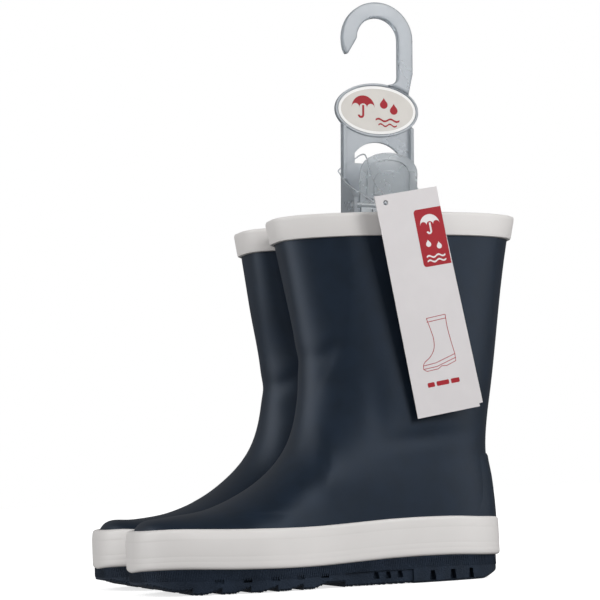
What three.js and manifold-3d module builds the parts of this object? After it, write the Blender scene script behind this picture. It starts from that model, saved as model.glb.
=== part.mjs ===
// A pair of child's pull-on rubber deck boots, held together by a clear plastic clip hanger with a hook,
// a size label and a folded swing tag on a nylon loop.
// Millimetres, +Z up, toes towards -Y, left boot at +X. The boots stand on Z = 0.
import * as THREE from "three";
import { mergeVertices } from "three/addons/utils/BufferGeometryUtils.js";
import Module from "manifold-3d";

const wasm = await Module();
wasm.setup();

// ---------------------------------------------------------------- driving sizes

const gap = 0.3; // between pieces that touch
const facets = 14; // steps along each side of a boot, from toe to heel

const boot = {
  footLength: 178.5, // outside of the upper, without the foxing
  toeReach: 90.5, // from the row's origin forward to the toe
  height: 176, // floor to the top of the collar
  spacing: 74, // between the centrelines of the two soles
  collarClearance: 0.1, // between the two collar bands
  footHalfWidth: 34.6, // outside of the upper at the ball
  waistHalfWidth: 28,
  heelHalfWidth: 28,
  shaftHalfWidth: 26.4,
  toeHeight: 35, // floor to the top of the toe box
  wallBase: 11.4, // floor to the underside of the upper
};
const upperWall = 1.5;
const stiffenerWall = 0.6;
const liningWall = 0.9;
const outsole = { edge: 1.1, top: 11.1, lug: 4.2, toeSpring: 5, barPitch: 12.7, barGap: 4, waistLift: 3 };
const foxing = { clearance: 0.45, wall: 2.1, bottom: 11.1, top: 29.4, lip: 0.8 };
const collarBand = { wall: 1.4, depth: 11.5, lip: 1.4 };
const heelStrip = { wall: 1.2, top: 59.3 };
const puff = { slack: 0.2, wall: 0.45, length: 30 }; // pressed a little smaller than the space it fills
const lastingMargin = 10;
const board = { thickness: 1.6 };
const footbed = { front: 3, heel: 5.5, sideClearance: 0.8 };
const stiffenerHeight = 34;

const hanger = {
  lean: 2.4, // degrees that the hook leans towards the heels
  alongCollar: 0.543, // share of the collar's length, from its front, where the clip bites
  halfWidth: 19.1,
  plate: 1.8,
  hookThickness: 4,
  hookOuter: 19.2,
  hookInner: 11.1,
  hookHeight: 97.6, // clip line to the hook's centre
  ovalHalfWidth: 22.5,
  ovalHalfHeight: 13.9,
  ovalHeight: 60.8, // clip line to the oval's centre
  rimWidth: 1.2,
  rimHeight: 0.7,
  railDepth: 3,
  railWall: 1.8,
  railFoot: 2.2, // the rails stop this far above the collars
  windowHalfWidth: 12,
  windowTop: 44.2,
  windowFoot: 33,
  legDepth: 24, // how far the legs reach into the boots
  legInset: 2.6,
};
const jaw = {
  pivotHeight: 9.2,
  trunnion: 1.6,
  trunnionClearance: 0.35,
  ear: 3.4, // plastic around each trunnion hole
  tabHalfWidth: 15.2,
  tabHeight: 30,
  tabLean: 6, // degrees
  legHalfWidth: 14.5,
};
const label = { thickness: 0.3 };
const tag = { width: 32, length: 106.7, card: 0.4, tilt: 9.06, holeRadius: 1.25, holeIn: 4.9, holeDown: 3.8 };
const tagClearance = 8.4; // between the collar band and the back of the tag
const loop = { radius: 0.35, socket: 2.6, bead: 0.75 };

// ---------------------------------------------------------------- the boot's form

const smooth = (a, b, x) => THREE.MathUtils.smoothstep(x, a, b);
const mix = (a, b, t) => a + (b - a) * t;

const toeY = -boot.toeReach;
const heelY = toeY + boot.footLength;

// The front line of the upper in the boot's middle plane, from the collar down over the instep to the toe.
const frontLine = new THREE.SplineCurve(
  [
    [74.5, boot.height],
    [79.4, 143],
    [83.8, 112],
    [83.8, 90],
    [77.6, 67],
    [62, 50.2],
    [38.5, boot.toeHeight + 4.4],
    [16.5, boot.toeHeight + 0.4],
    [6, boot.toeHeight - 0.9],
    [1.7, boot.toeHeight - 4.2],
    [0.2, boot.toeHeight - 9],
    [0, boot.wallBase],
  ].map(([fromToe, z]) => new THREE.Vector2(toeY + fromToe, z)),
);
// The back line, from the collar down to the heel.
const backLine = new THREE.SplineCurve(
  [
    [-22.1, boot.height],
    [-14.1, 142],
    [-4.9, 98],
    [0.2, 75],
    [2.2, 60],
    [1, 47],
    [0.1, 32],
    [0, boot.wallBase],
  ].map(([fromHeel, z]) => new THREE.Vector2(heelY - fromHeel, z)),
);

// Places along the front line, out of lineSteps, that every shell has a ring at: close together at the toe.
const lineSteps = 160;
const ringSteps = [];
for (let i = 8; i < lineSteps; i += i < 48 ? 14 : i < 88 ? 8 : i < 122 ? 6 : 5) ringSteps.push(i);

// A curve's points moved sideways by an inset, towards the inside of the boot.
function insetLine(curve, inset, inward) {
  const points = [];
  for (let i = 0; i <= lineSteps; i++) {
    const tangent = curve.getTangentAt(i / lineSteps);
    const normal = new THREE.Vector2(-tangent.y, tangent.x).multiplyScalar(inward * inset);
    points.push(curve.getPointAt(i / lineSteps).add(normal));
  }
  return points;
}

// The value of one coordinate of a line of points where another coordinate falls through a level.
function crossing(points, from, to, level) {
  for (let i = 0; i + 1 < points.length; i++) {
    const a = points[i];
    const b = points[i + 1];
    if (a[from] !== b[from] && (a[from] - level) * (b[from] - level) <= 0) {
      return mix(a[to], b[to], (level - a[from]) / (b[from] - a[from]));
    }
  }
  const ends = [points[0], points[points.length - 1]];
  ends.sort((a, b) => Math.abs(a[from] - level) - Math.abs(b[from] - level));
  return ends[0][to];
}

const superellipse = (v, n) => Math.pow(Math.max(0, 1 - Math.pow(Math.abs(2 * v - 1), n)), 1 / n);

// Half-width of the foot in plan at a share of its length from the toe; side is 1 outside and -1 inside.
function footWidth(v, side) {
  const ball = side > 0 ? boot.footHalfWidth : boot.footHalfWidth - 1.6;
  const waist = side > 0 ? boot.waistHalfWidth : boot.waistHalfWidth - 2;
  const middle = mix(ball * 1.07, waist, smooth(0.28, 0.55, v));
  return mix(middle, boot.heelHalfWidth * 1.02, smooth(0.55, 0.85, v)) * superellipse(v, 2.7);
}

// The boot's surface moved inwards by inset: rings of points at given heights, closed curves in plan.
class Form {
  constructor(inset) {
    this.inset = inset;
    this.front = insetLine(frontLine, inset, 1);
    this.back = insetLine(backLine, inset, -1);
  }
  // The X of the boot's centreline, which leans inwards until the two collars meet.
  centre(z) {
    const drift = (level) => smooth(20, boot.height + 30, level);
    const collar = boot.shaftHalfWidth + gap + collarBand.wall + boot.collarClearance / 2;
    return mix(boot.spacing / 2, collar, drift(z) / drift(boot.height));
  }
  // The height of the instep above a place along the foot, or a great height behind the instep.
  crown(y) {
    const low = this.front.filter((p) => p.y < 90);
    return y > low[0].x ? 1e4 : crossing(low, "x", "y", y);
  }
  halfWidth(y, z, frontY, backY, side) {
    const dome = 22;
    const v = THREE.MathUtils.clamp((y - toeY - this.inset) / (backY - toeY - this.inset), 0, 1);
    const foot = Math.max(0, footWidth(v, side) - this.inset);
    const share = z > dome ? Math.min(1, (z - dome) / Math.max(1, this.crown(y) - dome)) : 0;
    const overFoot = foot * Math.pow(1 - Math.pow(share, 2.3), 1 / 2.3);
    const along = THREE.MathUtils.clamp((y - frontY) / (backY - frontY), 0, 1);
    const flat = side > 0 ? 2.15 : mix(2.3, 4, smooth(110, boot.height, z));
    const shaft = (boot.shaftHalfWidth - this.inset) * superellipse(along, flat);
    return mix(overFoot, shaft, smooth(44, 84, z));
  }
  ring(z) {
    const frontY = crossing(this.front, "y", "x", z);
    const backY = crossing(this.back, "y", "x", z);
    const points = [];
    for (let i = 0; i < 2 * facets; i++) {
      const turn = (i / facets) * Math.PI;
      const side = i <= facets ? 1 : -1;
      const y = mix(frontY, backY, (1 - Math.cos(turn)) / 2);
      const width = i % facets ? this.halfWidth(y, z, frontY, backY, side) : 0;
      points.push(new THREE.Vector3(this.centre(z) + side * width, y, z));
    }
    return points;
  }
  // The heights of rings spread along the front line, which fall in step on every form whatever its inset.
  heights(top, bottom) {
    const between = ringSteps.map((i) => this.front[i].y).filter((z) => z < top - 0.6 && z > bottom + 0.6);
    return [top, ...between, bottom];
  }
}

// ---------------------------------------------------------------- solids from rings, grids and outlines

function geometryOf(points, triangles) {
  const geometry = new THREE.BufferGeometry();
  geometry.setAttribute("position", new THREE.Float32BufferAttribute(points.flatMap((p) => [p.x, p.y, p.z]), 3));
  geometry.setIndex(triangles);
  return geometry;
}

// Rings joined in order, and the last to the first, so that they close on themselves like a tyre.
function ringSolid(rings) {
  const around = rings[0].length;
  const triangles = [];
  rings.forEach((ring, r) => {
    const next = (r + 1) % rings.length;
    for (let i = 0; i < around; i++) {
      const j = (i + 1) % around;
      const [a, b, c, d] = [r * around + i, r * around + j, next * around + j, next * around + i];
      triangles.push(a, c, b, a, d, c);
    }
  });
  return geometryOf(rings.flat(), triangles);
}

// An outer grid of points over an inner one, closed along its four sides.
function patchSolid(outer, inner) {
  const rows = outer.length;
  const columns = outer[0].length;
  const base = rows * columns;
  const at = (r, c) => r * columns + c;
  const triangles = [];
  const quad = (a, b, c, d) => triangles.push(a, b, c, a, c, d);
  for (let r = 0; r + 1 < rows; r++) {
    for (let c = 0; c + 1 < columns; c++) {
      quad(at(r, c), at(r + 1, c), at(r + 1, c + 1), at(r, c + 1));
      quad(base + at(r, c), base + at(r, c + 1), base + at(r + 1, c + 1), base + at(r + 1, c));
    }
  }
  for (let c = 0; c + 1 < columns; c++) {
    quad(at(0, c), at(0, c + 1), base + at(0, c + 1), base + at(0, c));
    quad(at(rows - 1, c + 1), at(rows - 1, c), base + at(rows - 1, c), base + at(rows - 1, c + 1));
  }
  for (let r = 0; r + 1 < rows; r++) {
    quad(at(r + 1, 0), at(r, 0), base + at(r, 0), base + at(r + 1, 0));
    quad(at(r, columns - 1), at(r + 1, columns - 1), base + at(r + 1, columns - 1), base + at(r, columns - 1));
  }
  return geometryOf([...outer.flat(), ...inner.flat()], triangles);
}

function toSolid(geometry) {
  const bare = geometry.index ? geometry.toNonIndexed() : geometry.clone();
  for (const name of Object.keys(bare.attributes)) if (name !== "position") bare.deleteAttribute(name);
  const merged = mergeVertices(bare, 1e-3);
  const made = new wasm.Manifold(
    new wasm.Mesh({
      numProp: 3,
      vertProperties: merged.attributes.position.array,
      triVerts: new Uint32Array(merged.index.array),
    }),
  );
  return made;
}

function toGeometry(solid) {
  const mesh = solid.getMesh();
  const positions = [];
  for (let i = 0; i < mesh.numVert; i++) {
    positions.push(...mesh.vertProperties.slice(i * mesh.numProp, i * mesh.numProp + 3));
  }
  const geometry = new THREE.BufferGeometry();
  geometry.setAttribute("position", new THREE.Float32BufferAttribute(positions, 3));
  geometry.setIndex([...mesh.triVerts]);
  return geometry;
}

// A shape drawn in plan, X and Y, from one height to another.
function planSolid(shape, bottom, top, segments = 12) {
  const geometry = new THREE.ExtrudeGeometry(shape, { depth: top - bottom, bevelEnabled: false, curveSegments: segments });
  return toSolid(geometry.translate(0, 0, bottom));
}

// A shape drawn as seen along X, with Y and Z as its axes, from one X to another.
const seenAlongX = new THREE.Matrix4().makeBasis(
  new THREE.Vector3(0, 1, 0),
  new THREE.Vector3(0, 0, 1),
  new THREE.Vector3(1, 0, 0),
);
function sideSolid(shape, low, high, segments = 12) {
  const geometry = new THREE.ExtrudeGeometry(shape, { depth: high - low, bevelEnabled: false, curveSegments: segments });
  return toSolid(geometry.translate(0, 0, low).applyMatrix4(seenAlongX));
}

function box(low, high) {
  const size = high.map((value, i) => value - low[i]);
  const middle = high.map((value, i) => (value + low[i]) / 2);
  return toSolid(new THREE.BoxGeometry(...size).translate(...middle));
}

function barAlongY(radius, low, high, x, z, sides) {
  const geometry = new THREE.CylinderGeometry(radius, radius, high - low, sides);
  return toSolid(geometry.translate(x, (low + high) / 2, z));
}

function barAlongX(radius, low, high, y, z, sides) {
  const geometry = new THREE.CylinderGeometry(radius, radius, high - low, sides).rotateZ(Math.PI / 2);
  return toSolid(geometry.translate((low + high) / 2, y, z));
}

const shapeOf = (points) => new THREE.Shape(points.map(([x, y]) => new THREE.Vector2(x, y)));
const outlineOf = (ring) => shapeOf(ring.map((p) => [p.x, p.y]));

// ---------------------------------------------------------------- the pieces of one boot

const shellTop = boot.height - collarBand.lip - gap;
const stiffenerOut = upperWall + gap;
const liningOut = stiffenerOut + stiffenerWall + gap;
const liningIn = liningOut + liningWall;
const boardBottom = boot.wallBase + upperWall + gap + liningWall + gap;
const boardTop = boardBottom + board.thickness;
const footbedBottom = boardTop + gap;

// A shell open at the top, turned in under the foot by the lasting margin.
function lastedShell(outer, wall, base) {
  const inner = outer + wall;
  const outside = new Form(outer);
  const inside = new Form(inner);
  const marginEdge = new Form(inner + lastingMargin);
  return ringSolid([
    ...outside.heights(shellTop, base).map((z) => outside.ring(z)),
    marginEdge.ring(base),
    marginEdge.ring(base + wall),
    ...inside.heights(shellTop, base + wall).reverse().map((z) => inside.ring(z)),
  ]);
}

const makeUpper = () => lastedShell(0, upperWall, boot.wallBase);
const makeLining = () => lastedShell(liningOut, liningWall, boot.wallBase + upperWall + gap);

// A band around the boot: its outer side as pairs of an inset and a height going down, and its inner side
// following the form between the same heights.
function bandSolid(section, inset, top, bottom) {
  const inside = new Form(inset);
  return ringSolid([
    ...section.map(([outer, z]) => new Form(outer).ring(z)),
    ...inside.heights(top, bottom).reverse().map((z) => inside.ring(z)),
  ]);
}

function makeFoxing() {
  const face = -foxing.clearance - foxing.wall;
  const bottom = foxing.bottom + gap;
  const section = [
    [face + foxing.lip, foxing.top],
    [face + 0.2, foxing.top - foxing.lip],
    [face, (foxing.bottom + foxing.top) / 2],
    [face + 0.2, bottom + foxing.lip],
    [face + foxing.lip, bottom],
  ];
  return bandSolid(section, -foxing.clearance, foxing.top, bottom);
}

function makeCollarBand() {
  const face = -gap - collarBand.wall;
  const bottom = boot.height - collarBand.depth;
  const over = new Form(liningIn);
  const down = new Form(-gap);
  return ringSolid([
    over.ring(boot.height),
    new Form(face + 0.5).ring(boot.height),
    new Form(face).ring(boot.height - 0.5),
    new Form(face).ring(bottom + 0.5),
    down.ring(bottom),
    down.ring(shellTop + gap),
    over.ring(shellTop + gap),
  ]);
}

// The points of some rings between two places along them, for a patch on the form.
function patchRows(inset, top, bottom, first, last) {
  const form = new Form(inset);
  return form.heights(top, bottom).map((z) => {
    const ring = form.ring(z);
    const row = [];
    for (let i = first; i <= last; i++) row.push(ring[(i + ring.length) % ring.length]);
    return row;
  });
}

// A patch of a wall's thickness, reaching the same number of facets either side of a place on the rings.
function wallPatch(outer, wall, top, bottom, middle, reach) {
  return patchSolid(
    patchRows(outer, top, bottom, middle - reach, middle + reach),
    patchRows(outer + wall, top, bottom, middle - reach, middle + reach),
  );
}

const stiffenerBottom = boot.wallBase + upperWall + gap;

// The strip that takes the knocks at the back of the heel.
const makeHeelStrip = () =>
  wallPatch(-gap - heelStrip.wall, heelStrip.wall, heelStrip.top, foxing.top + gap, facets, 3);

// The stiffener between the upper and the lining around the heel.
const makeHeelStiffener = () =>
  wallPatch(
    stiffenerOut,
    stiffenerWall,
    stiffenerBottom + stiffenerHeight,
    stiffenerBottom,
    facets,
    6,
  );

// The puff that keeps the toe box round.
function makeToePuff() {
  const outside = new Form(stiffenerOut + puff.slack);
  const inside = new Form(stiffenerOut + puff.slack + puff.wall);
  const rows = outside.heights(outside.crown(toeY + puff.length), stiffenerBottom);
  const drops = outside.front.map((p, i) => [p.y, inside.front[i].y]);
  const under = rows.map((z, i) =>
    i === rows.length - 1 ? z : drops.reduce((a, b) => (Math.abs(b[0] - z) < Math.abs(a[0] - z) ? b : a))[1],
  );
  const pick = (form) => (z) => {
    const ring = form.ring(z);
    return [-4, -3, -2, -1, 0, 1, 2, 3, 4].map((k) => ring[(k + ring.length) % ring.length]);
  };
  return patchSolid(rows.map(pick(outside)), under.map(pick(inside)));
}

// Flat pieces under the foot, cut to the boot's inside.
const flatPiece = (inset, bottom, top) => planSolid(outlineOf(new Form(inset).ring(boot.wallBase)), bottom, top);

const makeFiller = () =>
  toGeometry(flatPiece(liningIn + lastingMargin + gap, boot.wallBase, boardBottom - gap));
const makeBoard = () => toGeometry(flatPiece(liningIn + gap, boardBottom, boardTop));

// The footbed thickens towards the heel, under which it is a wedge.
function makeFootbed() {
  const inset = liningIn + gap + footbed.sideClearance;
  const blank = flatPiece(inset, footbedBottom, footbedBottom + footbed.heel);
  const top = footbedBottom + footbed.front;
  const above = footbedBottom + footbed.heel + 1;
  const cut = shapeOf([
    [toeY - 1, top],
    [-10, top],
    [45, footbedBottom + footbed.heel],
    [45, above],
    [toeY - 1, above],
  ]);
  return toGeometry(blank.subtract(sideSolid(cut, -10, 100)));
}

// The sole: a slab with cross bars under the ball, a lifted waist, and a heel with notches in its edge.
function makeOutsole() {
  const edge = new Form(-outsole.edge);
  const middle = boot.spacing / 2;
  const reach = 60;
  let sole = planSolid(outlineOf(edge.ring(boot.wallBase)), 0, outsole.top);
  const cutBox = (y0, y1, z1, x0 = middle - reach, x1 = middle + reach) => {
    sole = sole.subtract(box([x0, y0, -1], [x1, y1, z1]));
  };
  const waist = { front: -14, back: 2 };
  cutBox(waist.front, waist.back, outsole.waistLift);
  for (let i = 0; i < 5; i++) {
    const y = waist.front - (i + 0.75) * outsole.barPitch;
    cutBox(y - outsole.barGap, y, outsole.lug);
  }
  const spine = 5;
  cutBox(toeY + 16, waist.front, outsole.lug - 1, middle - spine / 2, middle + spine / 2);
  const notch = 2.6;
  const notchDepth = 7;
  const notchPitch = 9.7;
  const outerEdge = middle + boot.heelHalfWidth + outsole.edge;
  for (let i = 0; i < 3; i++) {
    const y = heelY - 17.5 - i * notchPitch;
    cutBox(y - notch, y, outsole.lug, outerEdge - notchDepth, middle + reach);
    cutBox(y - notch, y, outsole.lug, middle - reach, 2 * middle - outerEdge + notchDepth);
  }
  cutBox(waist.back + 12, heelY - 16, outsole.lug - 1, middle - 9, middle + 9);
  const spring = shapeOf([
    [toeY - 10, -1],
    [toeY + 20, -1],
    [toeY + 20, 0],
    [toeY - 3, outsole.toeSpring],
    [toeY - 10, outsole.toeSpring],
  ]);
  const heelBevel = shapeOf([
    [heelY - 10, -1],
    [heelY + 10, -1],
    [heelY + 10, 3.4],
    [heelY + 2, 3.4],
    [heelY - 10, 0],
  ]);
  for (const cut of [spring, heelBevel]) sole = sole.subtract(sideSolid(cut, middle - reach, middle + reach));
  return toGeometry(sole);
}

// ---------------------------------------------------------------- materials

const paint = (color, roughness, extra = {}) =>
  new THREE.MeshStandardMaterial({ color, roughness, metalness: 0, ...extra });
const navyRubber = paint(0x242b37, 0.55);
const soleRubber = paint(0x1d232d, 0.8);
const whiteRubber = paint(0xdcd8d4, 0.6);
const jersey = paint(0xb9b7b0, 0.95);
const fibreboard = paint(0xa89272, 0.9);
const sponge = paint(0x3a3a3c, 0.95);
const felt = paint(0xc9c4ba, 1);
const clearPlastic = paint(0xaeb6bd, 0.25, { transparent: true, opacity: 0.6 });
const labelPaper = paint(0xe8e5e0, 0.5);
const card = paint(0xdedadb, 0.55);
const nylon = paint(0xd0d4d6, 0.3, { transparent: true, opacity: 0.7 });

// ---------------------------------------------------------------- the two boots

const model = new THREE.Group();

function add(group, name, geometry, material) {
  const mesh = new THREE.Mesh(geometry, material);
  mesh.name = name;
  group.add(mesh);
  return mesh;
}

const bootPieces = {
  outsole: [makeOutsole(), soleRubber],
  foxing: [makeFoxing(), whiteRubber],
  upper: [makeUpper(), navyRubber],
  collar_band: [makeCollarBand(), whiteRubber],
  heel_strip: [makeHeelStrip(), navyRubber],
  heel_stiffener: [makeHeelStiffener(), fibreboard],
  toe_puff: [makeToePuff(), fibreboard],
  lining: [makeLining(), jersey],
  sole_filler: [makeFiller(), sponge],
  insole_board: [makeBoard(), fibreboard],
  footbed: [makeFootbed(), felt],
};
for (const side of ["left", "right"]) {
  const one = new THREE.Group();
  if (side === "right") one.scale.x = -1;
  for (const [name, [geometry, material]] of Object.entries(bootPieces)) {
    add(one, `${side}_${name}`, geometry, material);
  }
  model.add(one);
}

// ---------------------------------------------------------------- the hanger

// The inner faces of the two collars lie against each other; the hanger's legs go down inside them.
const collarRing = new Form(0).ring(boot.height);
const clipLine = mix(collarRing[0].y, collarRing[facets].y, hanger.alongCollar);

// The X of a boot's inner lining at a height, where it comes nearest the boot's middle along a leg.
function innerFace(z) {
  const half = hanger.halfWidth - hanger.legInset;
  const along = new Form(liningIn).ring(z).slice(facets);
  return Math.max(...[-half, half].map((offset) => crossing(along, "y", "x", clipLine + offset)));
}
const pinch = Math.max(innerFace(boot.height), innerFace(boot.height - hanger.legDepth)) + gap;

const hangerGroup = new THREE.Group();
hangerGroup.position.set(0, clipLine, boot.height);
hangerGroup.rotation.x = -THREE.MathUtils.degToRad(hanger.lean);
model.add(hangerGroup);

const plateFace = -pinch;
const plateBack = plateFace - hanger.plate;
const pivot = { x: pinch + hanger.plate / 2, z: jaw.pivotHeight };

function hookShape() {
  const { hookOuter: R, hookInner: r, hookHeight: z } = hanger;
  const shape = new THREE.Shape();
  const stemFoot = hanger.ovalHeight + 8;
  shape.moveTo(R, z);
  shape.absarc(0, z, R, 0, Math.PI, false);
  shape.quadraticCurveTo(-R, z - 5, -R + 2.2, z - 8.6); // the outside of the tip
  shape.lineTo(-R + 3.4, z - 8.4);
  shape.lineTo(-r, z);
  shape.absarc(0, z, r, Math.PI, 0, true);
  shape.lineTo(r, z - 20);
  shape.quadraticCurveTo(r, stemFoot + 5, r - 4, stemFoot + 3);
  shape.lineTo(r - 4, stemFoot - 2);
  shape.lineTo(14.6, stemFoot);
  shape.lineTo(R, z - 17);
  shape.lineTo(R, z);
  return shape;
}

function ovalShape(shrink) {
  const shape = new THREE.Shape();
  shape.absellipse(
    0,
    hanger.ovalHeight,
    hanger.ovalHalfWidth - shrink,
    hanger.ovalHalfHeight - shrink,
    0,
    2 * Math.PI,
    false,
    0,
  );
  return shape;
}

function plateShape() {
  const w = hanger.halfWidth;
  const leg = w - hanger.legInset;
  const shape = shapeOf([
    [-w, hanger.railFoot],
    [-leg, hanger.railFoot],
    [-leg, -hanger.legDepth],
    [leg, -hanger.legDepth],
    [leg, hanger.railFoot],
    [w, hanger.railFoot],
    [w, hanger.ovalHeight],
    [-w, hanger.ovalHeight],
  ]);
  const arch = hanger.windowHalfWidth;
  const spring = hanger.windowTop - 6;
  const window = new THREE.Path();
  window.moveTo(-arch, hanger.windowFoot);
  window.lineTo(-arch, spring);
  window.quadraticCurveTo(-arch / 2, hanger.windowTop + 1, 0, hanger.windowTop);
  window.quadraticCurveTo(arch / 2, hanger.windowTop + 1, arch, spring);
  window.lineTo(arch, hanger.windowFoot);
  window.lineTo(-arch, hanger.windowFoot);
  shape.holes.push(window);
  return shape;
}

// One rail's outline as seen from the side, Z against X: deep at the trunnion ear, shallow above.
function railShape() {
  const front = pivot.x + jaw.ear;
  const shallow = plateFace + hanger.railDepth;
  return shapeOf([
    [plateBack, hanger.railFoot],
    [front, hanger.railFoot],
    [front, pivot.z + jaw.ear],
    [shallow, pivot.z + 17],
    [shallow, hanger.ovalHeight - 4],
    [plateBack, hanger.ovalHeight - 4],
  ]);
}

const seenAlongY = new THREE.Matrix4().makeBasis(
  new THREE.Vector3(1, 0, 0),
  new THREE.Vector3(0, 0, 1),
  new THREE.Vector3(0, -1, 0),
);

function makeHangerBody() {
  const hookFront = plateBack + hanger.hookThickness;
  const rimFace = plateFace + hanger.rimHeight;
  let body = sideSolid(plateShape(), plateBack, plateFace, 8)
    .add(sideSolid(hookShape(), plateBack, hookFront, 10))
    .add(sideSolid(ovalShape(0), plateBack, rimFace, 20));
  for (const side of [-1, 1]) {
    const rail = toSolid(
      new THREE.ExtrudeGeometry(railShape(), { depth: hanger.railWall, bevelEnabled: false }).applyMatrix4(seenAlongY),
    );
    const outerFace = side > 0 ? hanger.halfWidth : hanger.railWall - hanger.halfWidth;
    body = body.add(rail.translate([0, outerFace, 0]));
  }
  body = body.subtract(sideSolid(ovalShape(hanger.rimWidth), plateFace, pivot.x, 20));
  const hole = jaw.trunnion + jaw.trunnionClearance;
  return toGeometry(
    body.subtract(barAlongY(hole, -hanger.halfWidth - 1, hanger.halfWidth + 1, pivot.x, pivot.z, 16)),
  );
}

// The jaw: a leg inside the left boot, trunnions in the rails, and a thumb tab that leans outwards.
function makeJaw() {
  const lean = Math.tan(THREE.MathUtils.degToRad(jaw.tabLean));
  const w = jaw.tabHalfWidth;
  const arch = new THREE.Shape();
  arch.moveTo(-w, 0);
  arch.lineTo(-w, jaw.tabHeight - w * 0.9);
  arch.bezierCurveTo(-w, jaw.tabHeight, w, jaw.tabHeight, w, jaw.tabHeight - w * 0.9);
  arch.lineTo(w, 0);
  arch.lineTo(-w, 0);
  const tabShear = new THREE.Matrix4().set(1, 0, lean, pivot.x - hanger.plate / 2, 0, 1, 0, 0, 0, 0, 1, pivot.z, 0, 0, 0, 1);
  const tab = toSolid(
    new THREE.ExtrudeGeometry(arch, { depth: hanger.plate, bevelEnabled: false, curveSegments: 10 })
      .applyMatrix4(seenAlongX)
      .applyMatrix4(tabShear),
  );
  const leg = box(
    [pinch, -jaw.legHalfWidth, -hanger.legDepth],
    [pinch + hanger.plate, jaw.legHalfWidth, jaw.pivotHeight],
  );
  const ribs = [-8, 0, 8].map((y) =>
    box([pinch + 0.5, y - 0.7, -hanger.legDepth + 3], [pinch + hanger.plate + 1.2, y + 0.7, jaw.pivotHeight - 2]),
  );
  const axle = barAlongY(jaw.trunnion, -hanger.halfWidth, hanger.halfWidth, pivot.x, pivot.z, 16);
  return toGeometry(ribs.reduce((body, rib) => body.add(rib), leg.add(tab).add(axle)));
}

function makeLabel() {
  const face = plateFace + gap;
  return toGeometry(sideSolid(ovalShape(hanger.rimWidth + gap), face, face + label.thickness, 20));
}

add(hangerGroup, "hanger_body", makeHangerBody(), clearPlastic);
add(hangerGroup, "clip_jaw", makeJaw(), clearPlastic);
add(hangerGroup, "size_label", makeLabel(), labelPaper);

// ---------------------------------------------------------------- the swing tag

const bandOutside = Math.max(...new Form(-gap - collarBand.wall).ring(boot.height - 1).map((p) => p.x));
const tagBack = bandOutside + tagClearance;
const tagHole = { y: -22.3, z: 1.8 }; // from the clip line, in the hanger's frame

const tagGroup = new THREE.Group();
tagGroup.position.set(0, tagHole.y, tagHole.z);
tagGroup.rotation.x = THREE.MathUtils.degToRad(tag.tilt + hanger.lean);
hangerGroup.add(tagGroup);

// One leaf of the folded card, hung by its hole near the corner by the fold.
function leafShape(width, length, holeRadius) {
  const left = -tag.holeIn;
  const top = tag.holeDown;
  const shape = shapeOf([
    [left, top],
    [left, top - length],
    [left + width, top - length],
    [left + width, top],
  ]);
  const hole = new THREE.Path();
  hole.absarc(0, 0, holeRadius, 0, 2 * Math.PI, true);
  shape.holes.push(hole);
  return shape;
}

function makeBackLeaf() {
  return toGeometry(sideSolid(leafShape(tag.width, tag.length - 2, tag.holeRadius), tagBack, tagBack + tag.card, 8));
}

function makeFrontLeaf() {
  const face = tagBack + tag.card + gap;
  return toGeometry(sideSolid(leafShape(tag.width, tag.length, tag.holeRadius), face, face + tag.card, 8));
}

add(tagGroup, "tag_back_leaf", makeBackLeaf(), card);
add(tagGroup, "tag_front_leaf", makeFrontLeaf(), card);

// The lock: a socket behind the tag, with a bead that ends in the hole of the front leaf.
function makeLock() {
  const back = tagBack - gap - loop.socket;
  const front = tagBack + 2 * tag.card + gap;
  const half = loop.socket / 2;
  const socket = box([back, -half, -half], [tagBack - gap, half, half]);
  return toGeometry(socket.add(barAlongX(loop.bead, back + 1, front, 0, 0, 12)));
}

const lockGroup = new THREE.Group();
lockGroup.position.copy(tagGroup.position);
hangerGroup.add(lockGroup);
add(lockGroup, "loop_lock", makeLock(), nylon);

// The nylon loop: from the lock up through the window, round the left rail and back to the lock.
const lockX = tagBack - gap - loop.socket / 2;
const lockSide = loop.socket / 2 + gap;
const loopBack = plateBack - gap - loop.radius;
const railSide = -hanger.halfWidth - gap - loop.radius;
const loopPoints = [
  [lockX, tagHole.y, tagHole.z + lockSide],
  [lockX - 1.5, tagHole.y + 0.6, tagHole.z + 4],
  [48, -20.4, 12.5],
  [33, -17.8, 21],
  [18, -14.6, 31],
  [4, -11.2, 35.6],
  [plateFace + 1, 1.6 - hanger.windowHalfWidth, 36.4],
  [plateBack + 0.3, 1.2 - hanger.windowHalfWidth, 35.8],
  [loopBack - 0.5, -hanger.windowHalfWidth - 1.5, 34.2],
  [loopBack - 0.4, 2 - hanger.halfWidth, 31.5],
  [plateBack - 0.6, railSide - 0.3, 29],
  [plateFace, railSide - 0.2, 27],
  [6, -22.4, 21.4],
  [20, -24.2, 16.4],
  [36, -25.8, 11.4],
  [52, -26.4, 6],
  [lockX - 2.5, -25.6, tagHole.z + 0.6],
  [lockX, tagHole.y - lockSide, tagHole.z],
];

function makeLoop() {
  const path = new THREE.CatmullRomCurve3(loopPoints.map((p) => new THREE.Vector3(...p)), false, "centripetal");
  const section = new THREE.Shape();
  section.absarc(0, 0, loop.radius, 0, 2 * Math.PI, false);
  return new THREE.ExtrudeGeometry(section, { extrudePath: path, steps: 60, bevelEnabled: false, curveSegments: 4 });
}

add(hangerGroup, "tag_loop", makeLoop(), nylon);

// ---------------------------------------------------------------- the part's frame

// The origin lies on the floor, midway between the toe and the back of the collar.
const foremost = toeY - foxing.clearance - foxing.wall;
const rearmost = collarRing[facets].y + gap + collarBand.wall;
model.position.y = -(foremost + rearmost) / 2;

const part = new THREE.Group();
part.add(model);
export default part;
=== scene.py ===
import math

import bmesh
import bpy
import numpy as np
from mathutils import Matrix, Vector


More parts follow.
